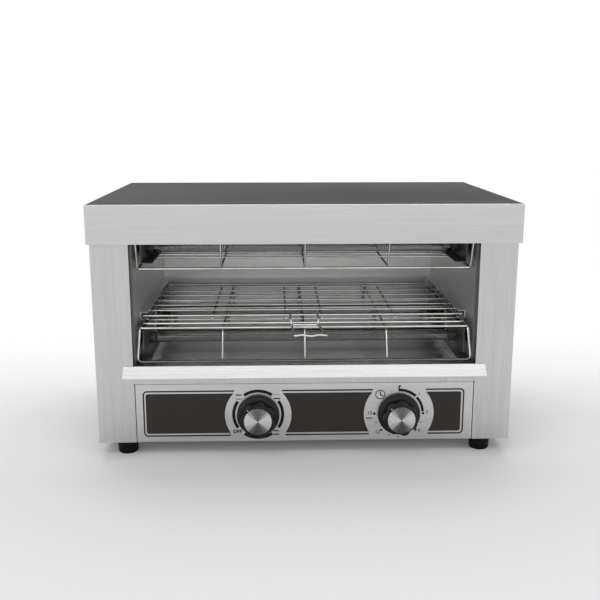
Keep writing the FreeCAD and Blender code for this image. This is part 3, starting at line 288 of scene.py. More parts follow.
# Mill finish: unpolished rolled sheet with blurred reflections, and cut edges that look dark. The marks of
# the rollers are drawn 3 mm wide so that they show.
liner_steel = brushed_steel("mill_finish_steel_liner", LINER_LIGHT, LINER_DARK, roughness=0.42, width=3.0,
                            length=60, cut_edge=CUT_EDGE)
dress(liner_steel, "liner_roof", "liner_side_left", "liner_side_right", "heat_shield", "tray_runner_left",
      "tray_runner_right")
# The same finish in a paler copy, painted lighter for the light that falls on the back and the rails,
# with broad soft highlights.
painted_lit_back_steel = brushed_steel("mill_finish_steel_painted_lit_back_and_rails", PAINTED_LIT_BACK_LIGHT, PAINTED_LIT_BACK_DARK, roughness=0.4,
                           width=3.0, length=60)
dress(painted_lit_back_steel, "liner_back", "rack_rail_left", "rack_rail_right")
# Steel beside the tubes in painted shade: a dull warm dark grey that hardly reflects.
painted_shade_bracket_steel = brushed_steel("painted_shade_steel_brackets", BRACKET_PAINTED_SHADE_LIGHT, BRACKET_PAINTED_SHADE_DARK, roughness=0.45,
                              width=4.0, length=20)
dress(painted_shade_bracket_steel, "tube_brackets_lower_left", "tube_brackets_lower_right", "tube_brackets_upper_left",
      "tube_brackets_upper_right")
CAVITY_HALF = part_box("liner_side_right")[0].x / MM
CAVITY_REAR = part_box("liner_back")[0].y / MM


# Hood
# A folded cover of stainless steel sheet with a flange turned back under its front edge, screwed to the
# cabinet at its sides. Its faces are brushed along the width.
HOOD_LIGHT = "D5D5D5"
HOOD_DARK = "C9C9C9"
# Painted shade for the top: the tones its colour is multiplied by at the front and at the rear, and the
# same for its darkened reflection at flat angles.
HOOD_TOP_PAINTED_SHADE = ("BABABA", "A3A3A3")
HOOD_TOP_PAINTED_DARK_SHEEN = ("5C5C5C", "3A3A3A")


def round_folds(*nodes):
    """Shades the rounded folds of carried-over nodes as smooth metal, and leaves their sharp edges sharp."""
    for name in nodes:
        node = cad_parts[name]
        node.data.shade_smooth()
        weld = node.modifiers.new("weld", "WELD")
        weld.merge_threshold = 0.002 * MM
        split = node.modifiers.new("split", "EDGE_SPLIT")
        split.split_angle = math.radians(FOLD_ANGLE)


# Brushed stainless steel, bright in front. The top, seen flat along its brushing, gets painted shade: a
# dark grey, darker towards the rear, with a painted dark reflection at flat angles.
hood_steel = brushed_steel("brushed_stainless_steel_hood", HOOD_LIGHT, HOOD_DARK, top=HOOD_TOP_PAINTED_SHADE,
                           painted_top_sheen=HOOD_TOP_PAINTED_DARK_SHEEN)
dress(hood_steel, "hood")
round_folds("hood")
HOOD_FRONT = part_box("hood")[0].y / MM
HOOD_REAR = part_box("hood")[1].y / MM
HOOD_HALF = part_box("hood")[1].x / MM
HOOD_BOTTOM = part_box("hood")[0].z / MM


# Control panel
# A brushed plate set into the front, screen-printed with a dark brown field inside a line border and with
# the marks round both dials. The ink is a fraction of a millimetre thick and matt.
PANEL_LIGHT = "DAD9D8"
PANEL_DARK = "CBCAC9"
FIELD_BROWN = "363130"
FIELD_MOTTLE = "403A38"
INK_DEPTH = 0.06
PLATE_ARC = 48
DIAL_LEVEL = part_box("selector_cap")[0].z / MM / 2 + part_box("selector_cap")[1].z / MM / 2
SELECTOR_ACROSS = -54.0
TIMER_ACROSS = 108.0
# Left, bottom, right and top.
FIELD = (-182.0, 28.3, 179.7, 76.2)
FIELD_CORNER = 2.6
BORDER = (-184.4, 25.5, 182.4, 79.0)
BORDER_CORNER = 4.2
BORDER_WIDTH = 1.8
BORDER_CLEAR = 1.6
# Where each dial's bare disc lies across the panel, and its radius.
PLATES = [(SELECTOR_ACROSS, 38.2), (TIMER_ACROSS, 40.4)]

# Brushed stainless steel, a little warmer than the front, and satin enough for the print to stand out.
dress(brushed_steel("brushed_stainless_steel_panel", PANEL_LIGHT, PANEL_DARK), "control_panel")


def arc(across, up, radius, start, end, steps=PLATE_ARC):
    """Points on an arc, with its angles in degrees counted anticlockwise from the right."""
    angles = [math.radians(start + (end - start) * n / steps) for n in range(steps + 1)]
    return [(across + radius * math.cos(angle), up + radius * math.sin(angle)) for angle in angles]


def band(points, width, closed=False):
    """The outline or outlines of a line of even width drawn through the points."""
    count = len(points)
    sides = ([], [])
    for n, point in enumerate(points):
        before = Vector(points[n - 1] if closed or n else points[0])
        after = Vector(points[(n + 1) % count] if closed or n < count - 1 else points[-1])
        run = (after - before).normalized()
        aside = Vector((-run.y, run.x)) * width / 2
        for side, sign in zip(sides, (1, -1)):
            side.append(tuple(Vector(point) + aside * sign))
    if closed:
        return [[sides[0][n], sides[0][(n + 1) % count], sides[1][(n + 1) % count], sides[1][n]]
                for n in range(count)]
    return [sides[0] + sides[1][::-1]]


def link_mesh(name, mesh, material, body):
    """A finished piece from a mesh in metres: shown, dressed and riding on its body."""
    piece = bpy.data.objects.new(name, mesh)
    bpy.context.scene.collection.objects.link(piece)
    mesh.materials.append(material)
    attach(piece, body)
    return piece


def ink_prisms(outlines, face, thick):
    """Thin prisms that stand in front of an upright face and reach a little into it, as a bmesh in metres."""
    made = bmesh.new()
    for outline in outlines:
        rings = [[made.verts.new((x * MM, level * MM, z * MM)) for x, z in outline]
                 for level in (face - thick, face + thick / 2)]
        made.faces.new(rings[0])
        made.faces.new(rings[1][::-1])
        count = len(outline)
        for n in range(count):
            made.faces.new([rings[0][(n + 1) % count], rings[0][n], rings[1][n], rings[1][(n + 1) % count]])
    bmesh.ops.recalc_face_normals(made, faces=made.faces)
    return made


def print_ink(name, outlines, material, body="cabinet", face=CASE_FRONT):
    """A printed mark on the panel or on a knob."""
    mesh = bpy.data.meshes.new(name)
    made = ink_prisms(outlines, face, INK_DEPTH)
    made.to_mesh(mesh)
    made.free()
    return link_mesh(name, mesh, material, body)


def ink(name, colour, mottled):
    """Screen-printing ink: matt, with the mesh's fine mottle drawn 1.5 mm wide so that it shows."""
    material, tree = blank_material(name)
    spot = add(tree, "ShaderNodeTexCoord").outputs["Object"]
    noise = add(tree, "ShaderNodeTexNoise", {"Vector": spot, "Scale": 1 / (1.5 * MM), "Detail": 2.0})
    mottle = noise.outputs[0]
    paint = add(tree, "ShaderNodeValToRGB", {"Fac": mottle}, [(0.3, colour), (1.0, mottled)])
    bump = add(tree, "ShaderNodeBump", {"Height": mottle, "Strength": 0.15, "Distance": 0.01 * MM})
    dry = add(tree, "ShaderNodeBsdfPrincipled", {"Base Color": paint.outputs["Color"], "Roughness": 0.7,
                                                 "Specular IOR Level": 0.15, "Normal": bump.outputs[0]})
    add(tree, "ShaderNodeOutputMaterial", {"Surface": dry.outputs[0]})
    return material


def meeting(level, plate, clear=0.0):
    """How far to each side of a dial's plate a level line meets its edge."""
    return math.sqrt((plate[1] + clear) ** 2 - (level - DIAL_LEVEL) ** 2)


def plate_edge(plate, low, high, side):
    """The edge of a dial's plate from a low level to a high one, on its left (-1) or right (1) side."""
    across, radius = plate
    start = math.degrees(math.asin((low - DIAL_LEVEL) / radius))
    end = math.degrees(math.asin((high - DIAL_LEVEL) / radius))
    points = arc(across, DIAL_LEVEL, radius, start, end)
    return [(across + side * (x - across), z) for x, z in points]


# Matt dark brown ink: an even field that reflects almost nothing, so the bare steel round it looks bright.
field_ink = ink("screen_printed_brown_ink", FIELD_BROWN, FIELD_MOTTLE)
left, low, right, high = FIELD
r = FIELD_CORNER
left_end = arc(left + r, high - r, r, 90, 180, 8) + arc(left + r, low + r, r, 180, 270, 8)
right_end = arc(right - r, low + r, r, 270, 360, 8) + arc(right - r, high - r, r, 0, 90, 8)
fields = [left_end + plate_edge(PLATES[0], low, high, -1),
          plate_edge(PLATES[0], low, high, 1) + plate_edge(PLATES[1], low, high, -1)[::-1],
          right_end + plate_edge(PLATES[1], low, high, 1)[::-1]]
print_ink("panel_field_print", fields, field_ink)

left, low, right, high = BORDER
r = BORDER_CORNER
first, second = PLATES
ends = {}
for n, plate in enumerate(PLATES):
    for level in (low, high):
        ends[n, level] = meeting(level, plate, BORDER_CLEAR)
left_line = [(first[0] - ends[0, high], high)] + arc(left + r, high - r, r, 90, 180, 10)
left_line += arc(left + r, low + r, r, 180, 270, 10) + [(first[0] - ends[0, low], low)]
right_line = [(second[0] + ends[1, low], low)] + arc(right - r, low + r, r, 270, 360, 10)
right_line += arc(right - r, high - r, r, 0, 90, 10) + [(second[0] + ends[1, high], high)]
borders = band(left_line, BORDER_WIDTH) + band(right_line, BORDER_WIDTH)
for level in (low, high):
    borders += band([(first[0] + ends[0, level], level), (second[0] - ends[1, level], level)], BORDER_WIDTH)
print_ink("panel_border_print", borders, field_ink)


# Dial marks
# Printed round both knobs: four heavy arcs, OFF and plain signs for top and bottom heat on the left, and on
# the right an arc for hold and for the first minutes, dots, numbers for the minutes and a clock sign.
MARK_BLACK = "1A1715"
MARK_MOTTLE = "282321"
ARC_INNER = 26.3
ARC_OUTER = 29.9
ARC_LEVEL = DIAL_LEVEL + 0.6
ARC_HALF = 34.5
DOT_RING = 28.2
DOT_STEP = 22.5
BIG_DOTS = (0, 2, 6, 8)
CLOCK = (86.2, 73.2)
CLOCK_RADIUS = 5.3
# A sign is a bar and a wave: its left end, the bar's level, the wave's level and how thick the wave is.
SIGNS = ((-79.6, 74.2, 69.2, 0.5), (-36.0, 69.6, 74.6, 0.35), (-37.0, 26.3, 30.6, 0.7))
SIGN_LENGTH = 7.2
# The lettering's capitals are this share of its size.
CAPITAL_SHARE = 0.7
# Lettering: the words, how far across and up, and how tall the capitals are.
MINUTES = (("1", 130.8, 73.3, 3.6), ("3", 140.3, 51.4, 3.8), ("6", 132.1, 29.4, 3.6),
           ("12", 83.9, 27.8, 3.8), ("15", 74.6, 50.8, 3.8), ("min", 73.9, 44.9, 3.0))

# Matt black ink, a little warm like the field.
mark_ink = ink("screen_printed_black_ink", MARK_BLACK, MARK_MOTTLE)


def ring_part(across, inner, outer, start, end):
    """The outline of part of a ring round a dial, between two angles in degrees."""
    return arc(across, ARC_LEVEL, inner, start, end, 20) + arc(across, ARC_LEVEL, outer, end, start, 20)


def printed_words(name, words, across, up, tall, bold=0.1):
    """Generic lettering set as thin raised ink, with its strokes thickened as a stencil prints them."""
    text = bpy.data.curves.new(name, "FONT")
    text.body = words
    text.size = tall * MM / CAPITAL_SHARE
    text.align_x = "CENTER"
    text.align_y = "CENTER"
    text.extrude = INK_DEPTH * MM
    text.offset = bold * MM
    text.space_character = 1.12
    maker = bpy.data.objects.new(name + "_lettering", text)
    bpy.context.scene.collection.objects.link(maker)
    bpy.context.view_layer.update()
    mesh = bpy.data.meshes.new_from_object(maker.evaluated_get(bpy.context.evaluated_depsgraph_get()))
    bpy.data.objects.remove(maker)
    place = Matrix.Translation(Vector((across, CASE_FRONT, up)) * MM)
    mesh.transform(place @ Matrix.Rotation(math.pi / 2, 4, "X"))
    mesh.materials.clear()
    return link_mesh(name, mesh, mark_ink, "cabinet")


marks = [ring_part(SELECTOR_ACROSS, ARC_INNER, ARC_OUTER, middle - ARC_HALF, middle + ARC_HALF)
         for middle in (0, 90, 180, 270)]
wave = [(x, math.sin(x * 2.6) * 0.8) for x in (n * 0.4 for n in range(18))]
for across, up, level, thick in SIGNS:
    marks += band([(across, up), (across + SIGN_LENGTH, up)], 1.4)
    marks += band([(across + x, level + z) for x, z in wave], thick)
print_ink("selector_marks", marks, mark_ink)
printed_words("selector_off_mark", "OFF", -78.3, 30.0, 3.8, 0.28)

marks = [ring_part(TIMER_ACROSS, ARC_INNER - 0.2, ARC_OUTER - 0.8, 3, 43),
         ring_part(TIMER_ACROSS, ARC_INNER - 0.2, ARC_OUTER - 0.4, 47, 92)]
marks += band([(TIMER_ACROSS - 0.3, ARC_LEVEL + ARC_OUTER - 1), (TIMER_ACROSS - 0.3, DIAL_LEVEL + 34)], 1.6)
marks += band([(TIMER_ACROSS + 0.3, DIAL_LEVEL + 33.2), (TIMER_ACROSS + 2, DIAL_LEVEL + 33.2)], 1.6)
for step in range(9):
    angle = math.radians(-DOT_STEP * step)
    spot = (TIMER_ACROSS + DOT_RING * math.cos(angle), DIAL_LEVEL + DOT_RING * math.sin(angle))
    marks.append(arc(*spot, 1.5 if step in BIG_DOTS else 0.85, 0, 330, 11))
marks += band(arc(*CLOCK, CLOCK_RADIUS, 0, 350, 35), 1.0, closed=True)
marks += band([(CLOCK[0], CLOCK[1] + 4), CLOCK, (CLOCK[0] + 3.2, CLOCK[1] - 2)], 1.4)
print_ink("timer_marks", marks, mark_ink)
for words, across, up, tall in MINUTES:
    printed_words(f"timer_mark_{words}", words, across, up, tall)


# Controls and connections inside the compartment
# A moulded rotary switch and a plated clockwork timer stand behind the panel on their bushes, with a ceramic
# terminal block, a brass earth stud and a nylon cable gland towards the back.
SWITCH_BLACK = "1C1C1D"
GLAND_BLACK = "181818"
CERAMIC_WHITE = "E4DFD2"
ZINC = ("C9C6BC", "B5B2A8")
TURNED_STEEL = ("BEBEBE", "A6A6A6")
BRASS = ("D8B463", "B9954A")
# A lathe leaves rings finer than 0.1 mm. They are drawn this wide, in mm, so that they show.
TURNED_LINES = 0.6


def moulded(name, colour, roughness, grit=0.4, depth=0.03, specular=0.5):
    """Moulded or fired material: one body colour with a fine grain in the surface, sizes in mm."""
    material, tree = blank_material(name)
    spot = add(tree, "ShaderNodeTexCoord").outputs["Object"]
    noise = add(tree, "ShaderNodeTexNoise", {"Vector": spot, "Scale": 1 / (grit * MM), "Detail": 3.0})
    grain = noise.outputs[0]
    soft = add(tree, "ShaderNodeTexNoise", {"Vector": spot, "Scale": 1 / (12 * MM), "Detail": 2.0})
    rough = add(tree, "ShaderNodeMapRange", {
        "Value": soft.outputs[0], "From Min": NOISE_LOW, "From Max": NOISE_HIGH,
        "To Min": roughness - 0.06, "To Max": roughness + 0.06})
    tint = add(tree, "ShaderNodeMapRange", {"Value": grain, "From Min": NOISE_LOW, "From Max": NOISE_HIGH,
                                            "To Min": 0.9, "To Max": 1.1}).outputs["Result"]
    tinted = add(tree, "ShaderNodeVectorMath", {0: linear(colour)[:3], "Scale": tint}, operation="SCALE")
    bump = add(tree, "ShaderNodeBump", {"Height": grain, "Strength": 0.4, "Distance": depth * MM})
    body = {"Base Color": tinted.outputs[0], "Roughness": rough.outputs["Result"],
            "Specular IOR Level": specular, "Normal": bump.outputs[0]}
    solid = add(tree, "ShaderNodeBsdfPrincipled", body)
    add(tree, "ShaderNodeOutputMaterial", {"Surface": solid.outputs[0]})
    return material


# Phenolic resin: black with a soft dull shine. Nylon: black and a little glossier. Their real grain is finer
# than it is drawn here.
dress(moulded("moulded_phenolic_switch", SWITCH_BLACK, 0.45), "selector_switch")
dress(moulded("moulded_nylon_gland", GLAND_BLACK, 0.4), "cable_gland", "gland_nut")
# Glazed steatite: cream white with clear highlights over a slightly wavy glaze.
dress(moulded("glazed_steatite_ceramic", CERAMIC_WHITE, 0.3, grit=1.2, depth=0.02), "terminal_block")
# Zinc plate: a yellowish grey metal with soft reflections. The turned steel is bright and the turned brass
# a warm yellow, with rings from the lathe.
dress(brushed_steel("zinc_plated_steel_timer", *ZINC, width=3, length=12), "timer_body")
dress(brushed_steel("turned_steel_shaft", *TURNED_STEEL, width=TURNED_LINES, length=8), "selector_shaft",
      "timer_shaft")
dress(brushed_steel("turned_brass_stud", *BRASS, width=TURNED_LINES, length=8), "earth_stud")
round_folds("selector_switch", "timer_body", "cable_gland", "gland_nut", "selector_shaft", "timer_shaft")


# Heating tubes
# Clear fused-quartz tubes with a coil of resistance wire inside, held at both ends in glazed ceramic caps.
# The quartz bends the light at its edges and hides most of the coil's turns.
TUBE_OUTSIDE = 10.4
TUBE_INSIDE = 8.4
TUBE_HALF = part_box("upper_front_tube")[1].x / MM
TUBE_LEVELS = {"lower": BASE + 105.5, "upper": BASE + 215}
TUBE_DEPTHS = {"front": HOOD_FRONT + 85, "rear": HOOD_FRONT + 223}
QUARTZ_CLEAR = "F4F4F4"
QUARTZ_IOR = 1.46
COIL_OUTSIDE = 6.4
COIL_WIRE = 0.9
COIL_PITCH = 2.6
COIL_STEPS = 10
COIL_GREY = ("8A8681", "6E6A66")
CAP_GREY = "3C3936"
CAP_RADIUS = 6.3
CAP_BODY = 14.0
CAP_NECK = 5.8
CAP_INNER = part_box("tube_caps")[1].x / MM - CAP_NECK - CAP_BODY
CUP_RADIUS = TUBE_OUTSIDE / 2 + 0.06


def turned(profile, sides, place):
    """A bmesh turned from a profile of (along, radius); place(along, radius, angle) gives each point."""
    made = bmesh.new()
    rings = []
    for along, radius in profile:
        if radius == 0:
            rings.append([made.verts.new(place(along, 0, 0))])
            continue
        steps = [2 * math.pi * n / sides for n in range(sides)]
        rings.append([made.verts.new(place(along, radius, angle)) for angle in steps])
    for near, far in zip(rings, rings[1:]):
        for n in range(sides):
            around = ((near, n), (near, n + 1), (far, n + 1), (far, n))
            unique = list(dict.fromkeys(ring[step % len(ring)] for ring, step in around))
            if len(unique) > 2:
                made.faces.new(unique)
    bmesh.ops.recalc_face_normals(made, faces=made.faces)
    return made


def smooth_piece(name, made, material, body, sharp=35.0):
    """A finished piece from a bmesh, shaded smooth except over its sharp edges."""
    for edge in made.edges:
        edge.smooth = not (len(edge.link_faces) == 2 and edge.calc_face_angle() > math.radians(sharp))
    mesh = bpy.data.meshes.new(name)
    made.to_mesh(mesh)
    made.free()
    mesh.shade_smooth()
    return link_mesh(name, mesh, material, body)


def join_into(made, part, name):
    """Adds one bmesh to another."""
    spare = bpy.data.meshes.new(name)
    part.to_mesh(spare)
    part.free()
    made.from_mesh(spare)
    bpy.data.meshes.remove(spare)


def along_x(depth, level, sign=1):
    """Places turned points about a line that runs across the cabinet."""
    def place(along, radius, angle):
        return Vector((sign * along, depth + radius * math.cos(angle),
                       level + radius * math.sin(angle))) * MM
    return place


def wires(runs, diameter, sides=12):
    """A mesh in metres of round wires along runs of points in mm; each run is (points, closed)."""
    curve = bpy.data.curves.new("wire_path", "CURVE")
    curve.dimensions = "3D"
    curve.bevel_depth = diameter / 2 * MM
    curve.bevel_resolution = sides // 4 - 1
    curve.use_fill_caps = True
    for points, closed in runs:
        line = curve.splines.new("POLY")
        line.points.add(len(points) - 1)
        for knot, point in zip(line.points, points):
            knot.co = (*(Vector(point) * MM), 1)
        line.use_cyclic_u = closed
    maker = bpy.data.objects.new("wire_path", curve)
    bpy.context.scene.collection.objects.link(maker)
    bpy.context.view_layer.update()
    mesh = bpy.data.meshes.new_from_object(maker.evaluated_get(bpy.context.evaluated_depsgraph_get()))
    bpy.data.objects.remove(maker)
    mesh.materials.clear()
    mesh.shade_smooth()
    return mesh


# Resistance wire, oxidised by heat to a dull grey.
coil_steel = brushed_steel("dull_resistance_wire", *COIL_GREY, width=1, length=4, roughness=0.45)
turns = round(2 * (TUBE_HALF - 4) / COIL_PITCH)
start = -turns * COIL_PITCH / 2
radius = (COIL_OUTSIDE - COIL_WIRE) / 2
coil_runs = []
for level in TUBE_LEVELS.values():
    for depth in TUBE_DEPTHS.values():
        helix = [(-TUBE_HALF, depth, level)]
        for n in range(turns * COIL_STEPS + 1):
            angle = 2 * math.pi * n / COIL_STEPS
            helix.append((start + COIL_PITCH * n / COIL_STEPS, depth + radius * math.cos(angle),
                          level + radius * math.sin(angle)))
        helix.append((TUBE_HALF, depth, level))
        coil_runs.append((helix, False))
coils = link_mesh("heating_coil_helices", wires(coil_runs, COIL_WIRE, 4), coil_steel, "cabinet")
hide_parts("heating_coils")

# Fused quartz: almost colourless and very smooth, so it shows as thin bright lines along its edges.
quartz, tree = blank_material("clear_fused_quartz")
spot = add(tree, "ShaderNodeTexCoord").outputs["Object"]
haze = add(tree, "ShaderNodeTexNoise", {"Vector": spot, "Scale": 1 / (25 * MM), "Detail": 2.0}).outputs[0]
haze_roughness = add(tree, "ShaderNodeMapRange", {"Value": haze, "To Min": 0.01, "To Max": 0.06})
glass = {"Base Color": linear(QUARTZ_CLEAR), "IOR": QUARTZ_IOR, "Transmission Weight": 1.0,
         "Roughness": haze_roughness.outputs["Result"]}
glass = add(tree, "ShaderNodeBsdfPrincipled", glass)
add(tree, "ShaderNodeOutputMaterial", {"Surface": glass.outputs[0]})
for level_name, level in TUBE_LEVELS.items():
    for end_name, depth in TUBE_DEPTHS.items():
        outside, inside = TUBE_OUTSIDE / 2, TUBE_INSIDE / 2
        profile = [(-TUBE_HALF, inside), (-TUBE_HALF, outside), (TUBE_HALF, outside), (TUBE_HALF, inside),
                   (-TUBE_HALF, inside)]
        made = turned(profile, 32, along_x(depth, level))
        bmesh.ops.remove_doubles(made, verts=made.verts, dist=1e-7)
        tube = smooth_piece(f"{level_name}_{end_name}_quartz", made, quartz, "cabinet")
        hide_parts(f"{level_name}_{end_name}_tube")

# Glazed ceramic under a film of smoke: dark grey, and only half glossy.
cap_ceramic = moulded("smoke_darkened_ceramic", CAP_GREY, 0.45, grit=1.2, depth=0.02)
cap_end = CAP_BODY + CAP_NECK
cap_profile = [(2.05, 0), (2.05, CUP_RADIUS), (0, CUP_RADIUS), (0, CAP_RADIUS - 1), (0.3, CAP_RADIUS - 0.3),
               (1.0, CAP_RADIUS), (5.4, CAP_RADIUS), (5.8, CAP_RADIUS - 0.6), (8.2, CAP_RADIUS - 0.6),
               (8.6, CAP_RADIUS), (CAP_BODY - 0.5, CAP_RADIUS), (CAP_BODY, CAP_RADIUS - 0.5),
               (CAP_BODY, 4.0), (cap_end - 0.5, 4.0), (cap_end, 3.5), (cap_end, 0)]
cap_profile = [(CAP_INNER + along, radius) for along, radius in cap_profile]
made = bmesh.new()
for level in TUBE_LEVELS.values():
    for depth in TUBE_DEPTHS.values():
        for sign in (-1, 1):
            join_into(made, turned(cap_profile, 28, along_x(depth, level, sign)), "cap")
caps = smooth_piece("tube_end_caps", made, cap_ceramic, "cabinet")
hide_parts("tube_caps")


# Tube guards
# Baskets of polished stainless wire that keep the bread off the tubes: a closed frame bent away at both ends,
# ribs along the bends and rods across, spot-welded where they cross, with pins that sit in the walls.
FRAME_WIRE = 3.0
RIB_WIRE = 2.2
WELD_SINK = 0.3
GUARD_HALF = CAVITY_HALF - 4.6
GUARD_FLAT = 52.0
GUARD_FLARE = 15.0
GUARD_RISE = 35.0
GUARD_BEND = 5.0
GUARD_RIBS = (-94.0, 0.0, 94.0)
# Each guard's level, and whether its ends bend down (-1) or up (1).
GUARD_LEVELS = {"lower": (BASE + 130.1, -1), "upper": (BASE + 199.0, 1)}
# The frame's half width at its bent ends, which lean outwards, and how far the middle rod lies past the
# ribs.
GUARD_TIPS = {"lower": CAVITY_HALF - 3.0, "upper": CAVITY_HALF - 5.4}
MIDDLE_RODS = {"lower": 0.2, "upper": 1.9}
PIN_END = CAVITY_HALF + 3.8
WIRE_WHITE = "E6E5E3"
TINT_BROWN = "C2BCB5"
# Painted reflection: the dark colour of the wires' reflection at flat angles.
WIRE_PAINTED_DARK_EDGE = "4A4744"
PAINTED_SHADE_GREY = "8A8683"
# Painted shade: the wire is darkened from the first of these levels down to the second.
PAINTED_SHADE_LEVELS = (BASE + 100.0, BASE + 96.6)


def bend(points, radius, closed=False, steps=6):
    """The points of a bent wire: each corner becomes an arc of the bend's radius."""
    points = [Vector(point) for point in points]
    count = len(points)
    path = []
    for n, corner in enumerate(points):
        if not closed and n in (0, count - 1):
            path.append(corner)
            continue
        back = (points[n - 1] - corner).normalized()
        ahead = (points[(n + 1) % count] - corner).normalized()
        opening = back.angle(ahead)
        reach = radius / math.tan(opening / 2)
        centre = corner + (back + ahead).normalized() * (radius / math.sin(opening / 2))
        start = corner + back * reach - centre
        end = corner + ahead * reach - centre
        for step in range(steps + 1):
            path.append(centre + start.slerp(end, step / steps).normalized() * radius)
    return path


def polished_wire(name, light, tint, patch, edge=WIRE_PAINTED_DARK_EDGE, painted_shade=None, gloss=(0.1, 0.24)):
    """Polished stainless wire: a bright core between painted dark edges, tinted in patches sized in mm."""
    material, tree = blank_material(name)
    spot = add(tree, "ShaderNodeTexCoord").outputs["Object"]
    warm = add(tree, "ShaderNodeTexNoise", {"Vector": spot, "Scale": 1 / (patch * MM), "Detail": 3.0})
    tones = [(0.45, light), (0.7, tint)]
    colour = add(tree, "ShaderNodeValToRGB", {"Fac": warm.outputs[0]}, tones).outputs["Color"]
    # Painted shade: the wire darkens towards its lowest parts.
    if painted_shade:
        level = add(tree, "ShaderNodeSeparateXYZ", {"Vector": spot}).outputs["Z"]
        colour = darkened(tree, colour, linear(PAINTED_SHADE_GREY), level, painted_shade[0] * MM, painted_shade[1] * MM)
    drawn = add(tree, "ShaderNodeTexNoise", {"Vector": spot, "Scale": 1 / (1.2 * MM), "Detail": 2.0})
    limits = {"Value": drawn.outputs[0], "To Min": gloss[0], "To Max": gloss[1]}
    rough = add(tree, "ShaderNodeMapRange", limits).outputs["Result"]
    # Painted reflection: the edge colour darkens the wire's reflection at flat angles.
    wire = {"Metallic": 1.0, "Base Color": colour, "Specular Tint": linear(edge), "Roughness": rough}
    wire = add(tree, "ShaderNodeBsdfPrincipled", wire)
    add(tree, "ShaderNodeOutputMaterial", {"Surface": wire.outputs[0]})
    return material


# Polished stainless wire that the tubes have tinted, with painted shade on the rods that lie lowest.
guard_wire = polished_wire("polished_stainless_guard_wire", WIRE_WHITE, TINT_BROWN, 40, painted_shade=PAINTED_SHADE_LEVELS)
for level_name, (level, opens) in GUARD_LEVELS.items():
    for end_name, depth in TUBE_DEPTHS.items():
        tip = level + opens * GUARD_RISE
        tip_half = GUARD_TIPS[level_name]
        outer = GUARD_FLAT + GUARD_FLARE
        loop = []
        for end in (-1, 1):
            tip_depth = depth + end * outer
            flat_depth = depth + end * GUARD_FLAT
            loop += [(-end * GUARD_HALF, flat_depth, level), (-end * tip_half, tip_depth, tip),
                     (end * tip_half, tip_depth, tip), (end * GUARD_HALF, flat_depth, level)]
        thick = [(bend(loop, GUARD_BEND, closed=True), True)]
        rib_level = level + opens * ((FRAME_WIRE + RIB_WIRE) / 2 - WELD_SINK)
        middle_rod = rib_level + opens * MIDDLE_RODS[level_name]
        for shift in (FRAME_WIRE / 2 - GUARD_FLAT, GUARD_FLAT - FRAME_WIRE / 2):
            thick.append(([(-GUARD_HALF, depth + shift, level), (GUARD_HALF, depth + shift, level)], False))
        for sign in (-1, 1):
            thick.append(([(sign * GUARD_HALF, depth, level), (sign * PIN_END, depth, level)], False))
        thin = [([(-GUARD_HALF, depth, middle_rod), (GUARD_HALF, depth, middle_rod)], False)]
        for across in GUARD_RIBS:
            corners = [(across, depth - outer, tip), (across, depth - GUARD_FLAT, rib_level),
                       (across, depth + GUARD_FLAT, rib_level), (across, depth + outer, tip)]
            thin.append((bend(corners, GUARD_BEND), False))
        name = f"{level_name}_{end_name}_guard"
        for part, runs, wire in (("frame", thick, FRAME_WIRE), ("ribs", thin, RIB_WIRE)):
            piece = link_mesh(f"{name}_{part}", wires(runs, wire), guard_wire, "cabinet")
            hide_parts(name)


# Rack and its handle
# The sliding rack is welded from polished stainless wire: a frame with round corners, seven slats across it,
# and four stays under the slats. The handle, a bent wire with a waved grip, is welded over the front bar.
SLIDE_GAP = 0.3
RAIL_LEVEL = BASE + 131.7
RAIL_SHEET = 0.8
RACK_HALF = CAVITY_HALF - 6.0
RACK_LEVEL = RAIL_LEVEL + RAIL_SHEET + SLIDE_GAP + FRAME_WIRE / 2
RACK_NEAR = HOOD_FRONT + 39
RACK_FAR = CAVITY_REAR - 29
RACK_CORNER = 8.0
SLAT_WIRE = 2.6
SLAT_LEVEL = RACK_LEVEL + (FRAME_WIRE + SLAT_WIRE) / 2 - WELD_SINK
SLAT_REACH = RACK_HALF + SLAT_WIRE - 0.4
SLAT_DEPTHS = [HOOD_FRONT + 67 + 28 * n for n in range(7)]
STAY_WIRE = 2.2
STAY_LEVEL = SLAT_LEVEL - (SLAT_WIRE + STAY_WIRE) / 2 + WELD_SINK
STAY_NEAR = HOOD_FRONT + 63.5
STAY_FAR = HOOD_FRONT + 240
STAYS = (-108.0, -21.5, 21.5, 108.0)
HANDLE_WIRE = 2.5
HANDLE_HALF = 16.0
HANDLE_WAIST = 14.8
HANDLE_LEVEL = SLAT_LEVEL + SLAT_WIRE / 2 + 0.05 + HANDLE_WIRE / 2
HANDLE_ROOT = HOOD_FRONT + 79
HANDLE_NECK = RACK_NEAR - FRAME_WIRE / 2 - 0.9 - HANDLE_WIRE / 2
HANDLE_BEND = 2.4
GRIP_LEVEL = HANDLE_LEVEL - 10.2
GRIP_BAR = GRIP_LEVEL + 3.6
GRIP_SKEW = 6.0
GRIP_STEP = 9.5
# How far each wave of the grip lies above its level.
GRIP_LIFTS = (-0.3, 0.9, -0.7, 0.9, -0.1)
RACK_WHITE = "EEEDEB"
RACK_TINT = "D6D2CD"
PULL_TINT = "DEDBD7"
# Painted reflection: the handle wire's paler edge colour.
PULL_PAINTED_EDGE = "B4B3B1"
WELD_BROWN = "6B5647"
WELD_STRAW = "A08B77"
# Half a weld bead's size across, in depth and up.
BEAD = (1.55, 1.6, 1.05)

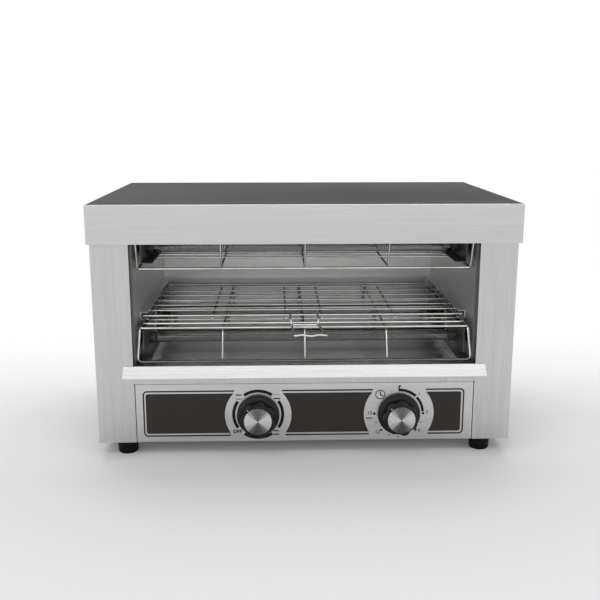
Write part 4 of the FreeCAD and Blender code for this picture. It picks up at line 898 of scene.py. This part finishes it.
# Polished stainless wire, cleaner than the guards': white lines with painted dark edges.
rack_wire = polished_wire("polished_stainless_rack_wire", RACK_WHITE, RACK_TINT, 60)
corners = [(RACK_HALF, RACK_NEAR, RACK_LEVEL), (RACK_HALF, RACK_FAR, RACK_LEVEL),
           (-RACK_HALF, RACK_FAR, RACK_LEVEL), (-RACK_HALF, RACK_NEAR, RACK_LEVEL)]
rack_frame = wires([(bend(corners, RACK_CORNER, closed=True, steps=10), True)], FRAME_WIRE, 16)
rack_frame = link_mesh("rack_frame", rack_frame, rack_wire, "rack_body")
slats = [([(-SLAT_REACH, depth, SLAT_LEVEL), (SLAT_REACH, depth, SLAT_LEVEL)], False)
         for depth in SLAT_DEPTHS]
slats = link_mesh("rack_slats", wires(slats, SLAT_WIRE), rack_wire, "rack_body")
stays = [([(across, STAY_NEAR, STAY_LEVEL), (across, STAY_FAR, STAY_LEVEL)], False) for across in STAYS]
stays = link_mesh("rack_stays", wires(stays, STAY_WIRE), rack_wire, "rack_body")
for piece in (rack_frame, slats, stays):
    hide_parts("rack")

# Heat stain of a spot weld: brown to straw yellow, and dull.
weld_stain, tree = blank_material("spot_weld_heat_stain")
spot = add(tree, "ShaderNodeTexCoord").outputs["Object"]
stain = add(tree, "ShaderNodeTexNoise", {"Vector": spot, "Scale": 1 / (1.4 * MM), "Detail": 3.0}).outputs[0]
stained = add(tree, "ShaderNodeValToRGB", {"Fac": stain}, [(0.35, WELD_BROWN), (0.65, WELD_STRAW)])
oxide = add(tree, "ShaderNodeBsdfPrincipled", {"Metallic": 1.0, "Roughness": 0.5,
                                               "Base Color": stained.outputs["Color"]})
add(tree, "ShaderNodeOutputMaterial", {"Surface": oxide.outputs[0]})
beads = bmesh.new()
crossing = (SLAT_LEVEL - SLAT_WIRE / 2 + STAY_LEVEL + STAY_WIRE / 2) / 2
flatten = Matrix.Diagonal((*BEAD, 1.0))
for across in STAYS:
    for depth in SLAT_DEPTHS:
        place = Matrix.Translation(Vector((across, depth, crossing)) * MM)
        bmesh.ops.create_icosphere(beads, subdivisions=2, radius=MM, matrix=place @ flatten)
smooth_piece("rack_weld_beads", beads, weld_stain, "rack_body", 180)

# Stainless wire rubbed by hands: satin, with a painted edge reflection paler than the rack's.
pull_wire = polished_wire("handled_stainless_pull_wire", RACK_WHITE, PULL_TINT, 60, edge=PULL_PAINTED_EDGE,
                          gloss=(0.24, 0.4))
legs = {}
for sign in (-1, 1):
    legs[sign] = [(sign * HANDLE_HALF, HANDLE_ROOT, HANDLE_LEVEL),
                  (sign * HANDLE_HALF, HANDLE_NECK, HANDLE_LEVEL),
                  (sign * HANDLE_WAIST, HANDLE_NECK, GRIP_BAR)]
grip = [(GRIP_SKEW + GRIP_STEP * step, HOOD_FRONT, GRIP_LEVEL + lift)
        for step, lift in zip(range(-2, 3), GRIP_LIFTS)]
run = bend(legs[-1] + grip + legs[1][::-1], HANDLE_BEND, steps=8)
handle = wires([(run, False), ([legs[-1][-1], legs[1][-1]], False)], HANDLE_WIRE, 16)
handle = link_mesh("rack_pull", handle, pull_wire, "rack_body")
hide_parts("rack_handle")


# Crumb tray
# Pressed from smooth stainless steel sheet, with a round-cornered well and a wide lip that leans forward to
# be pulled by. It slides on the runners under the lower tubes.
TRAY_LIGHT = "EEEEEE"
TRAY_DARK = "E4E4E4"

# Bright rolled stainless steel: the lip faces the studio lamp and is the brightest metal on the machine.
tray_steel = brushed_steel("smooth_stainless_steel_tray", TRAY_LIGHT, TRAY_DARK, roughness=0.28)
dress(tray_steel, "crumb_tray")
round_folds("crumb_tray")


# Control knobs
# Moulded black knobs: a flat round skirt and a tapered grip with seven lobes. Each has an aluminium cap,
# brushed in circles on a lathe and pressed into the front, and a white pointer line.
LOBES = 7
REST_ANGLE = 41.0
KNOB_BLACK = "0E0E0E"
KNOB_BORE = 3.05
KNOB_DEPTH = 22.6
KNOB_SIDES = 168
SKIRT_RADIUS = 24.4
GRIP_BACK = 19.7
GRIP_FRONT = 19.3
FLUTE_DEPTH = 2.4
CAP_DISC = 15.6
CAP_SEAT = KNOB_DEPTH - 1.6
CAP_FACE = KNOB_DEPTH + 0.6
# The disc's painted reflection: its tones from where it looks up and down to where it looks sideways.
DISC_PAINTED_REFLECTION_TONES = [(0.3, "666666"), (0.64, "888888"), (0.82, "CCCCCC"), (1.0, "DEDEDE")]
POINTER_WHITE = "D6D6D4"
POINTER_MOTTLE = "F4F4F2"
POINTER_WIDTH = 0.45

# Thermoset resin: black, hardly glossy, with a grain drawn 0.5 mm wide so that it shows.
knob_plastic = moulded("moulded_thermoset_knob", KNOB_BLACK, 0.38, grit=0.5, depth=0.02,
                       specular=0.36)
# Matt white paint, a thin even line that stands out on the black.
pointer_paint = ink("white_pointer_paint", POINTER_WHITE, POINTER_MOTTLE)


def along_front(across, lobed=False):
    """Places turned points about a knob's axis, with depth counted forward from the panel, and its lobes."""
    def place(along, radius, angle):
        if lobed and radius:
            wave = (1 + math.cos(LOBES * (angle - math.radians(90 + REST_ANGLE)))) / 2
            radius -= FLUTE_DEPTH * (1 - wave) ** 1.3
        return Vector((across + radius * math.cos(angle), CASE_FRONT - along,
                       DIAL_LEVEL + radius * math.sin(angle))) * MM
    return place


# Aluminium brushed in circles, with a painted reflection: two bright fans and two dark ones meet in the
# middle, with rays between them, painted by angle round the disc.
cap_metal, tree = blank_material("circular_brushed_aluminium")
spot = add(tree, "ShaderNodeTexCoord").outputs["Generated"]
disc = add(tree, "ShaderNodeSeparateXYZ", {"Vector": spot}).outputs
flat_x = add(tree, "ShaderNodeMath", {0: disc["X"], 1: 0.5}, operation="SUBTRACT").outputs[0]
flat_z = add(tree, "ShaderNodeMath", {0: disc["Z"], 1: 0.5}, operation="SUBTRACT").outputs[0]
turn_angle = add(tree, "ShaderNodeMath", {0: flat_z, 1: flat_x}, operation="ARCTAN2").outputs[0]
around = add(tree, "ShaderNodeCombineXYZ", {"X": turn_angle}).outputs[0]
streak = add(tree, "ShaderNodeTexNoise", {"Vector": around, "Scale": 7.0, "Detail": 4.0, "Roughness": 0.8})
painted_fan = add(tree, "ShaderNodeMath", {0: turn_angle}, operation="COSINE").outputs[0]
painted_fan = add(tree, "ShaderNodeMath", {0: painted_fan}, operation="ABSOLUTE").outputs[0]
spread = add(tree, "ShaderNodeMapRange", {"Value": streak.outputs[0], "From Min": NOISE_LOW,
                                          "From Max": NOISE_HIGH, "To Min": -0.4, "To Max": 0.4}).outputs[0]
painted_fan = add(tree, "ShaderNodeMath", {0: painted_fan, 1: spread}, operation="ADD").outputs[0]
rays = add(tree, "ShaderNodeValToRGB", {"Fac": painted_fan}, DISC_PAINTED_REFLECTION_TONES).outputs["Color"]
radial = add(tree, "ShaderNodeTangent", direction_type="RADIAL", axis="Y").outputs[0]
spun = add(tree, "ShaderNodeBsdfPrincipled", {"Metallic": 1.0, "Roughness": 0.3, "Anisotropic": 0.8,
                                              "Base Color": rays, "Tangent": radial})
add(tree, "ShaderNodeOutputMaterial", {"Surface": spun.outputs[0]})

skirt_profile = [(1.0, KNOB_BORE), (1.0, SKIRT_RADIUS - 0.3), (1.3, SKIRT_RADIUS), (3.5, SKIRT_RADIUS),
                 (4.0, SKIRT_RADIUS - 0.4), (5.2, 22.6), (6.3, 21.3), (6.6, 20.6), (6.8, GRIP_BACK - 4),
                 (5.0, KNOB_BORE), (1.0, KNOB_BORE)]
grip_profile = [(5.5, KNOB_BORE), (5.5, GRIP_BACK), (7.0, GRIP_BACK), (KNOB_DEPTH - 1.0, GRIP_FRONT + 0.1),
                (KNOB_DEPTH - 0.3, GRIP_FRONT - 0.25), (KNOB_DEPTH, GRIP_FRONT - 0.75)]
recess_profile = [(KNOB_DEPTH, CAP_DISC + 0.1), (CAP_SEAT, CAP_DISC + 0.1), (CAP_SEAT, KNOB_BORE)]
disc_profile = [(CAP_SEAT, 0), (CAP_SEAT, CAP_DISC), (CAP_FACE - 0.4, CAP_DISC),
                (CAP_FACE - 0.12, CAP_DISC - 0.12), (CAP_FACE, CAP_DISC - 0.45), (CAP_FACE, 0)]
pointing = Vector((math.cos(math.radians(90 + REST_ANGLE)), math.sin(math.radians(90 + REST_ANGLE))))
for body, across in (("selector", SELECTOR_ACROSS), ("timer", TIMER_ACROSS)):
    made = turned(skirt_profile, KNOB_SIDES, along_front(across))
    bmesh.ops.remove_doubles(made, verts=made.verts, dist=1e-7)
    piece = smooth_piece(f"{body}_knob_skirt", made, knob_plastic, body)
    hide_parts(f"{body}_knob")
    made = turned(grip_profile, KNOB_SIDES, along_front(across, lobed=True))
    join_into(made, turned(recess_profile, KNOB_SIDES, along_front(across)), "recess")
    front = CASE_FRONT - KNOB_DEPTH
    edges = [edge for edge in made.edges if edge.is_boundary
             and all(abs(corner.co.y / MM - front) < 1e-3 for corner in edge.verts)]
    bmesh.ops.bridge_loops(made, edges=edges)
    bmesh.ops.recalc_face_normals(made, faces=made.faces)
    piece = smooth_piece(f"{body}_knob_grip", made, knob_plastic, body)
    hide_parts(f"{body}_knob")
    made = turned(disc_profile, 96, along_front(across))
    piece = smooth_piece(f"{body}_cap_disc", made, cap_metal, body, 60)
    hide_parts(f"{body}_cap")
    for part, start, end, level in (("grip", CAP_DISC + 0.2, GRIP_FRONT - 0.8, KNOB_DEPTH),
                                    ("cap", 7.0, CAP_DISC - 0.5, CAP_FACE)):
        ends = [tuple(Vector((across, DIAL_LEVEL)) + pointing * reach) for reach in (start, end)]
        print_ink(f"{body}_pointer_{part}", band(ends, POINTER_WIDTH), pointer_paint, body,
                  CASE_FRONT - level)


# Feet
# Moulded rubber feet, round and slightly tapered, with a rounded lower edge that grips the counter. Each is
# held by a screw up through a recess in its middle.
FOOT_RUBBER = "080808"
FOOT_ACROSS = HOOD_HALF - 30.0
FOOT_DEPTHS = {"front": HOOD_FRONT + 33, "rear": HOOD_REAR - 33}
FOOT_RECESS = 4.6
FOOT_BORE = 2.15
FOOT_SEAT = 13.0

# Moulded rubber: deep matt black, with a grain drawn 0.8 mm wide so that it shows.
foot_rubber = moulded("moulded_rubber_foot", FOOT_RUBBER, 0.62, grit=0.8, depth=0.05, specular=0.2)


def upright(across, depth):
    """Places turned points about an upright line."""
    def place(along, radius, angle):
        return Vector((across + radius * math.cos(angle), depth + radius * math.sin(angle), along)) * MM
    return place


foot_profile = [(FOOT_SEAT, FOOT_BORE), (FOOT_SEAT, FOOT_RECESS), (0.0, FOOT_RECESS), (0.0, 9.4),
                (0.3, 10.3), (0.9, 10.9), (1.8, 11.3), (17.7, 12.3), (18.0, 12.0), (18.0, FOOT_BORE),
                (FOOT_SEAT, FOOT_BORE)]
for end_name, depth in FOOT_DEPTHS.items():
    for side, sign in (("left", -1), ("right", 1)):
        made = turned(foot_profile, 48, upright(sign * FOOT_ACROSS, depth))
        bmesh.ops.remove_doubles(made, verts=made.verts, dist=1e-7)
        name = f"{end_name}_{side}_foot"
        piece = smooth_piece(f"{name}_moulding", made, foot_rubber, "cabinet")
        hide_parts(name)


# Screws
# Stainless M4 pan-head screws with a cross recess, driven from outside: two hold each side of the hood, four
# the back and one each foot.
HEAD_RADIUS = 3.8
HEAD_HEIGHT = 2.4
THREAD_RADIUS = 1.9
SCREW_STEEL = ("DADADA", "BFBFBF")
SHEET_SCREW = 6.8
FOOT_SCREW = 11.8
SIDE_SCREW_LEVEL = HOOD_BOTTOM + 10

# Turned stainless steel: small bright heads with rings drawn 0.5 mm wide so that they show.
screw_steel = brushed_steel("bright_stainless_screw", *SCREW_STEEL, width=0.5, length=3, roughness=0.25)


def screw_mesh(length):
    """A pan-head screw along -Z with its head above the origin, its recess cut by a cross."""
    profile = [(HEAD_HEIGHT, 0), (HEAD_HEIGHT - 0.05, 1.2), (HEAD_HEIGHT - 0.3, 2.3),
               (HEAD_HEIGHT - 0.8, 3.2), (HEAD_HEIGHT - 1.4, 3.65), (0.5, HEAD_RADIUS),
               (0.0, HEAD_RADIUS - 0.1), (0.0, THREAD_RADIUS),
               (-length + 0.6, THREAD_RADIUS), (-length, 1.3), (-length, 0)]
    made = turned(profile, 32, upright(0, 0))
    head = bpy.data.meshes.new("screw")
    made.to_mesh(head)
    made.free()
    cross = bmesh.new()
    arm, half, low, top = 2.1, 0.42, HEAD_HEIGHT - 1.3, HEAD_HEIGHT + 1
    outline = [(arm, half), (half, half), (half, arm), (-half, arm), (-half, half), (-arm, half),
               (-arm, -half), (-half, -half), (-half, -arm), (half, -arm), (half, -half), (arm, -half)]
    rings = [[cross.verts.new(Vector((x * taper, y * taper, z)) * MM) for x, y in outline]
             for z, taper in ((low, 0.55), (top, 1.25))]
    cross.faces.new(rings[0][::-1])
    cross.faces.new(rings[1])
    for n in range(12):
        cross.faces.new([rings[0][n], rings[0][(n + 1) % 12], rings[1][(n + 1) % 12], rings[1][n]])
    bmesh.ops.recalc_face_normals(cross, faces=cross.faces)
    tool_mesh = bpy.data.meshes.new("recess_tool")
    cross.to_mesh(tool_mesh)
    cross.free()
    maker = bpy.data.objects.new("screw_maker", head)
    tool = bpy.data.objects.new("recess_tool", tool_mesh)
    for made_object in (maker, tool):
        bpy.context.scene.collection.objects.link(made_object)
    recess = maker.modifiers.new("recess", "BOOLEAN")
    recess.object = tool
    recess.operation = "DIFFERENCE"
    recess.solver = "EXACT"
    bpy.context.view_layer.update()
    finished = bpy.data.meshes.new_from_object(maker.evaluated_get(bpy.context.evaluated_depsgraph_get()))
    bpy.data.objects.remove(maker)
    bpy.data.objects.remove(tool)
    return finished


def screw_group(name, length, places):
    """One piece of like screws; places are (point, outward direction) in mm."""
    single = screw_mesh(length)
    made = bmesh.new()
    for point, outward in places:
        copy = single.copy()
        turn = Vector((0, 0, 1)).rotation_difference(Vector(outward)).to_matrix().to_4x4()
        copy.transform(Matrix.Translation(Vector(point) * MM) @ turn)
        made.from_mesh(copy)
        bpy.data.meshes.remove(copy)
    piece = smooth_piece(f"{name}_pan_heads", made, screw_steel, "cabinet", 25)
    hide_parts(name)


hood_fifth = (HOOD_REAR - HOOD_FRONT) / 5
screw_group("hood_screws", SHEET_SCREW, [((sign * HOOD_HALF, depth, SIDE_SCREW_LEVEL), (sign, 0, 0))
                                         for sign in (-1, 1)
                                         for depth in (HOOD_FRONT + hood_fifth, HOOD_REAR - hood_fifth)])
back_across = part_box("back_panel")[1].x / MM - 7 - 0.4
screw_group("back_screws", SHEET_SCREW, [((sign * back_across, CASE_REAR, level), (0, 1, 0))
                                         for sign in (-1, 1) for level in (BASE + 14, HOOD_BOTTOM - 14)])
screw_group("foot_screws", FOOT_SCREW, [((sign * FOOT_ACROSS, depth, BASE - 5), (0, 0, -1))
                                        for sign in (-1, 1) for depth in FOOT_DEPTHS.values()])
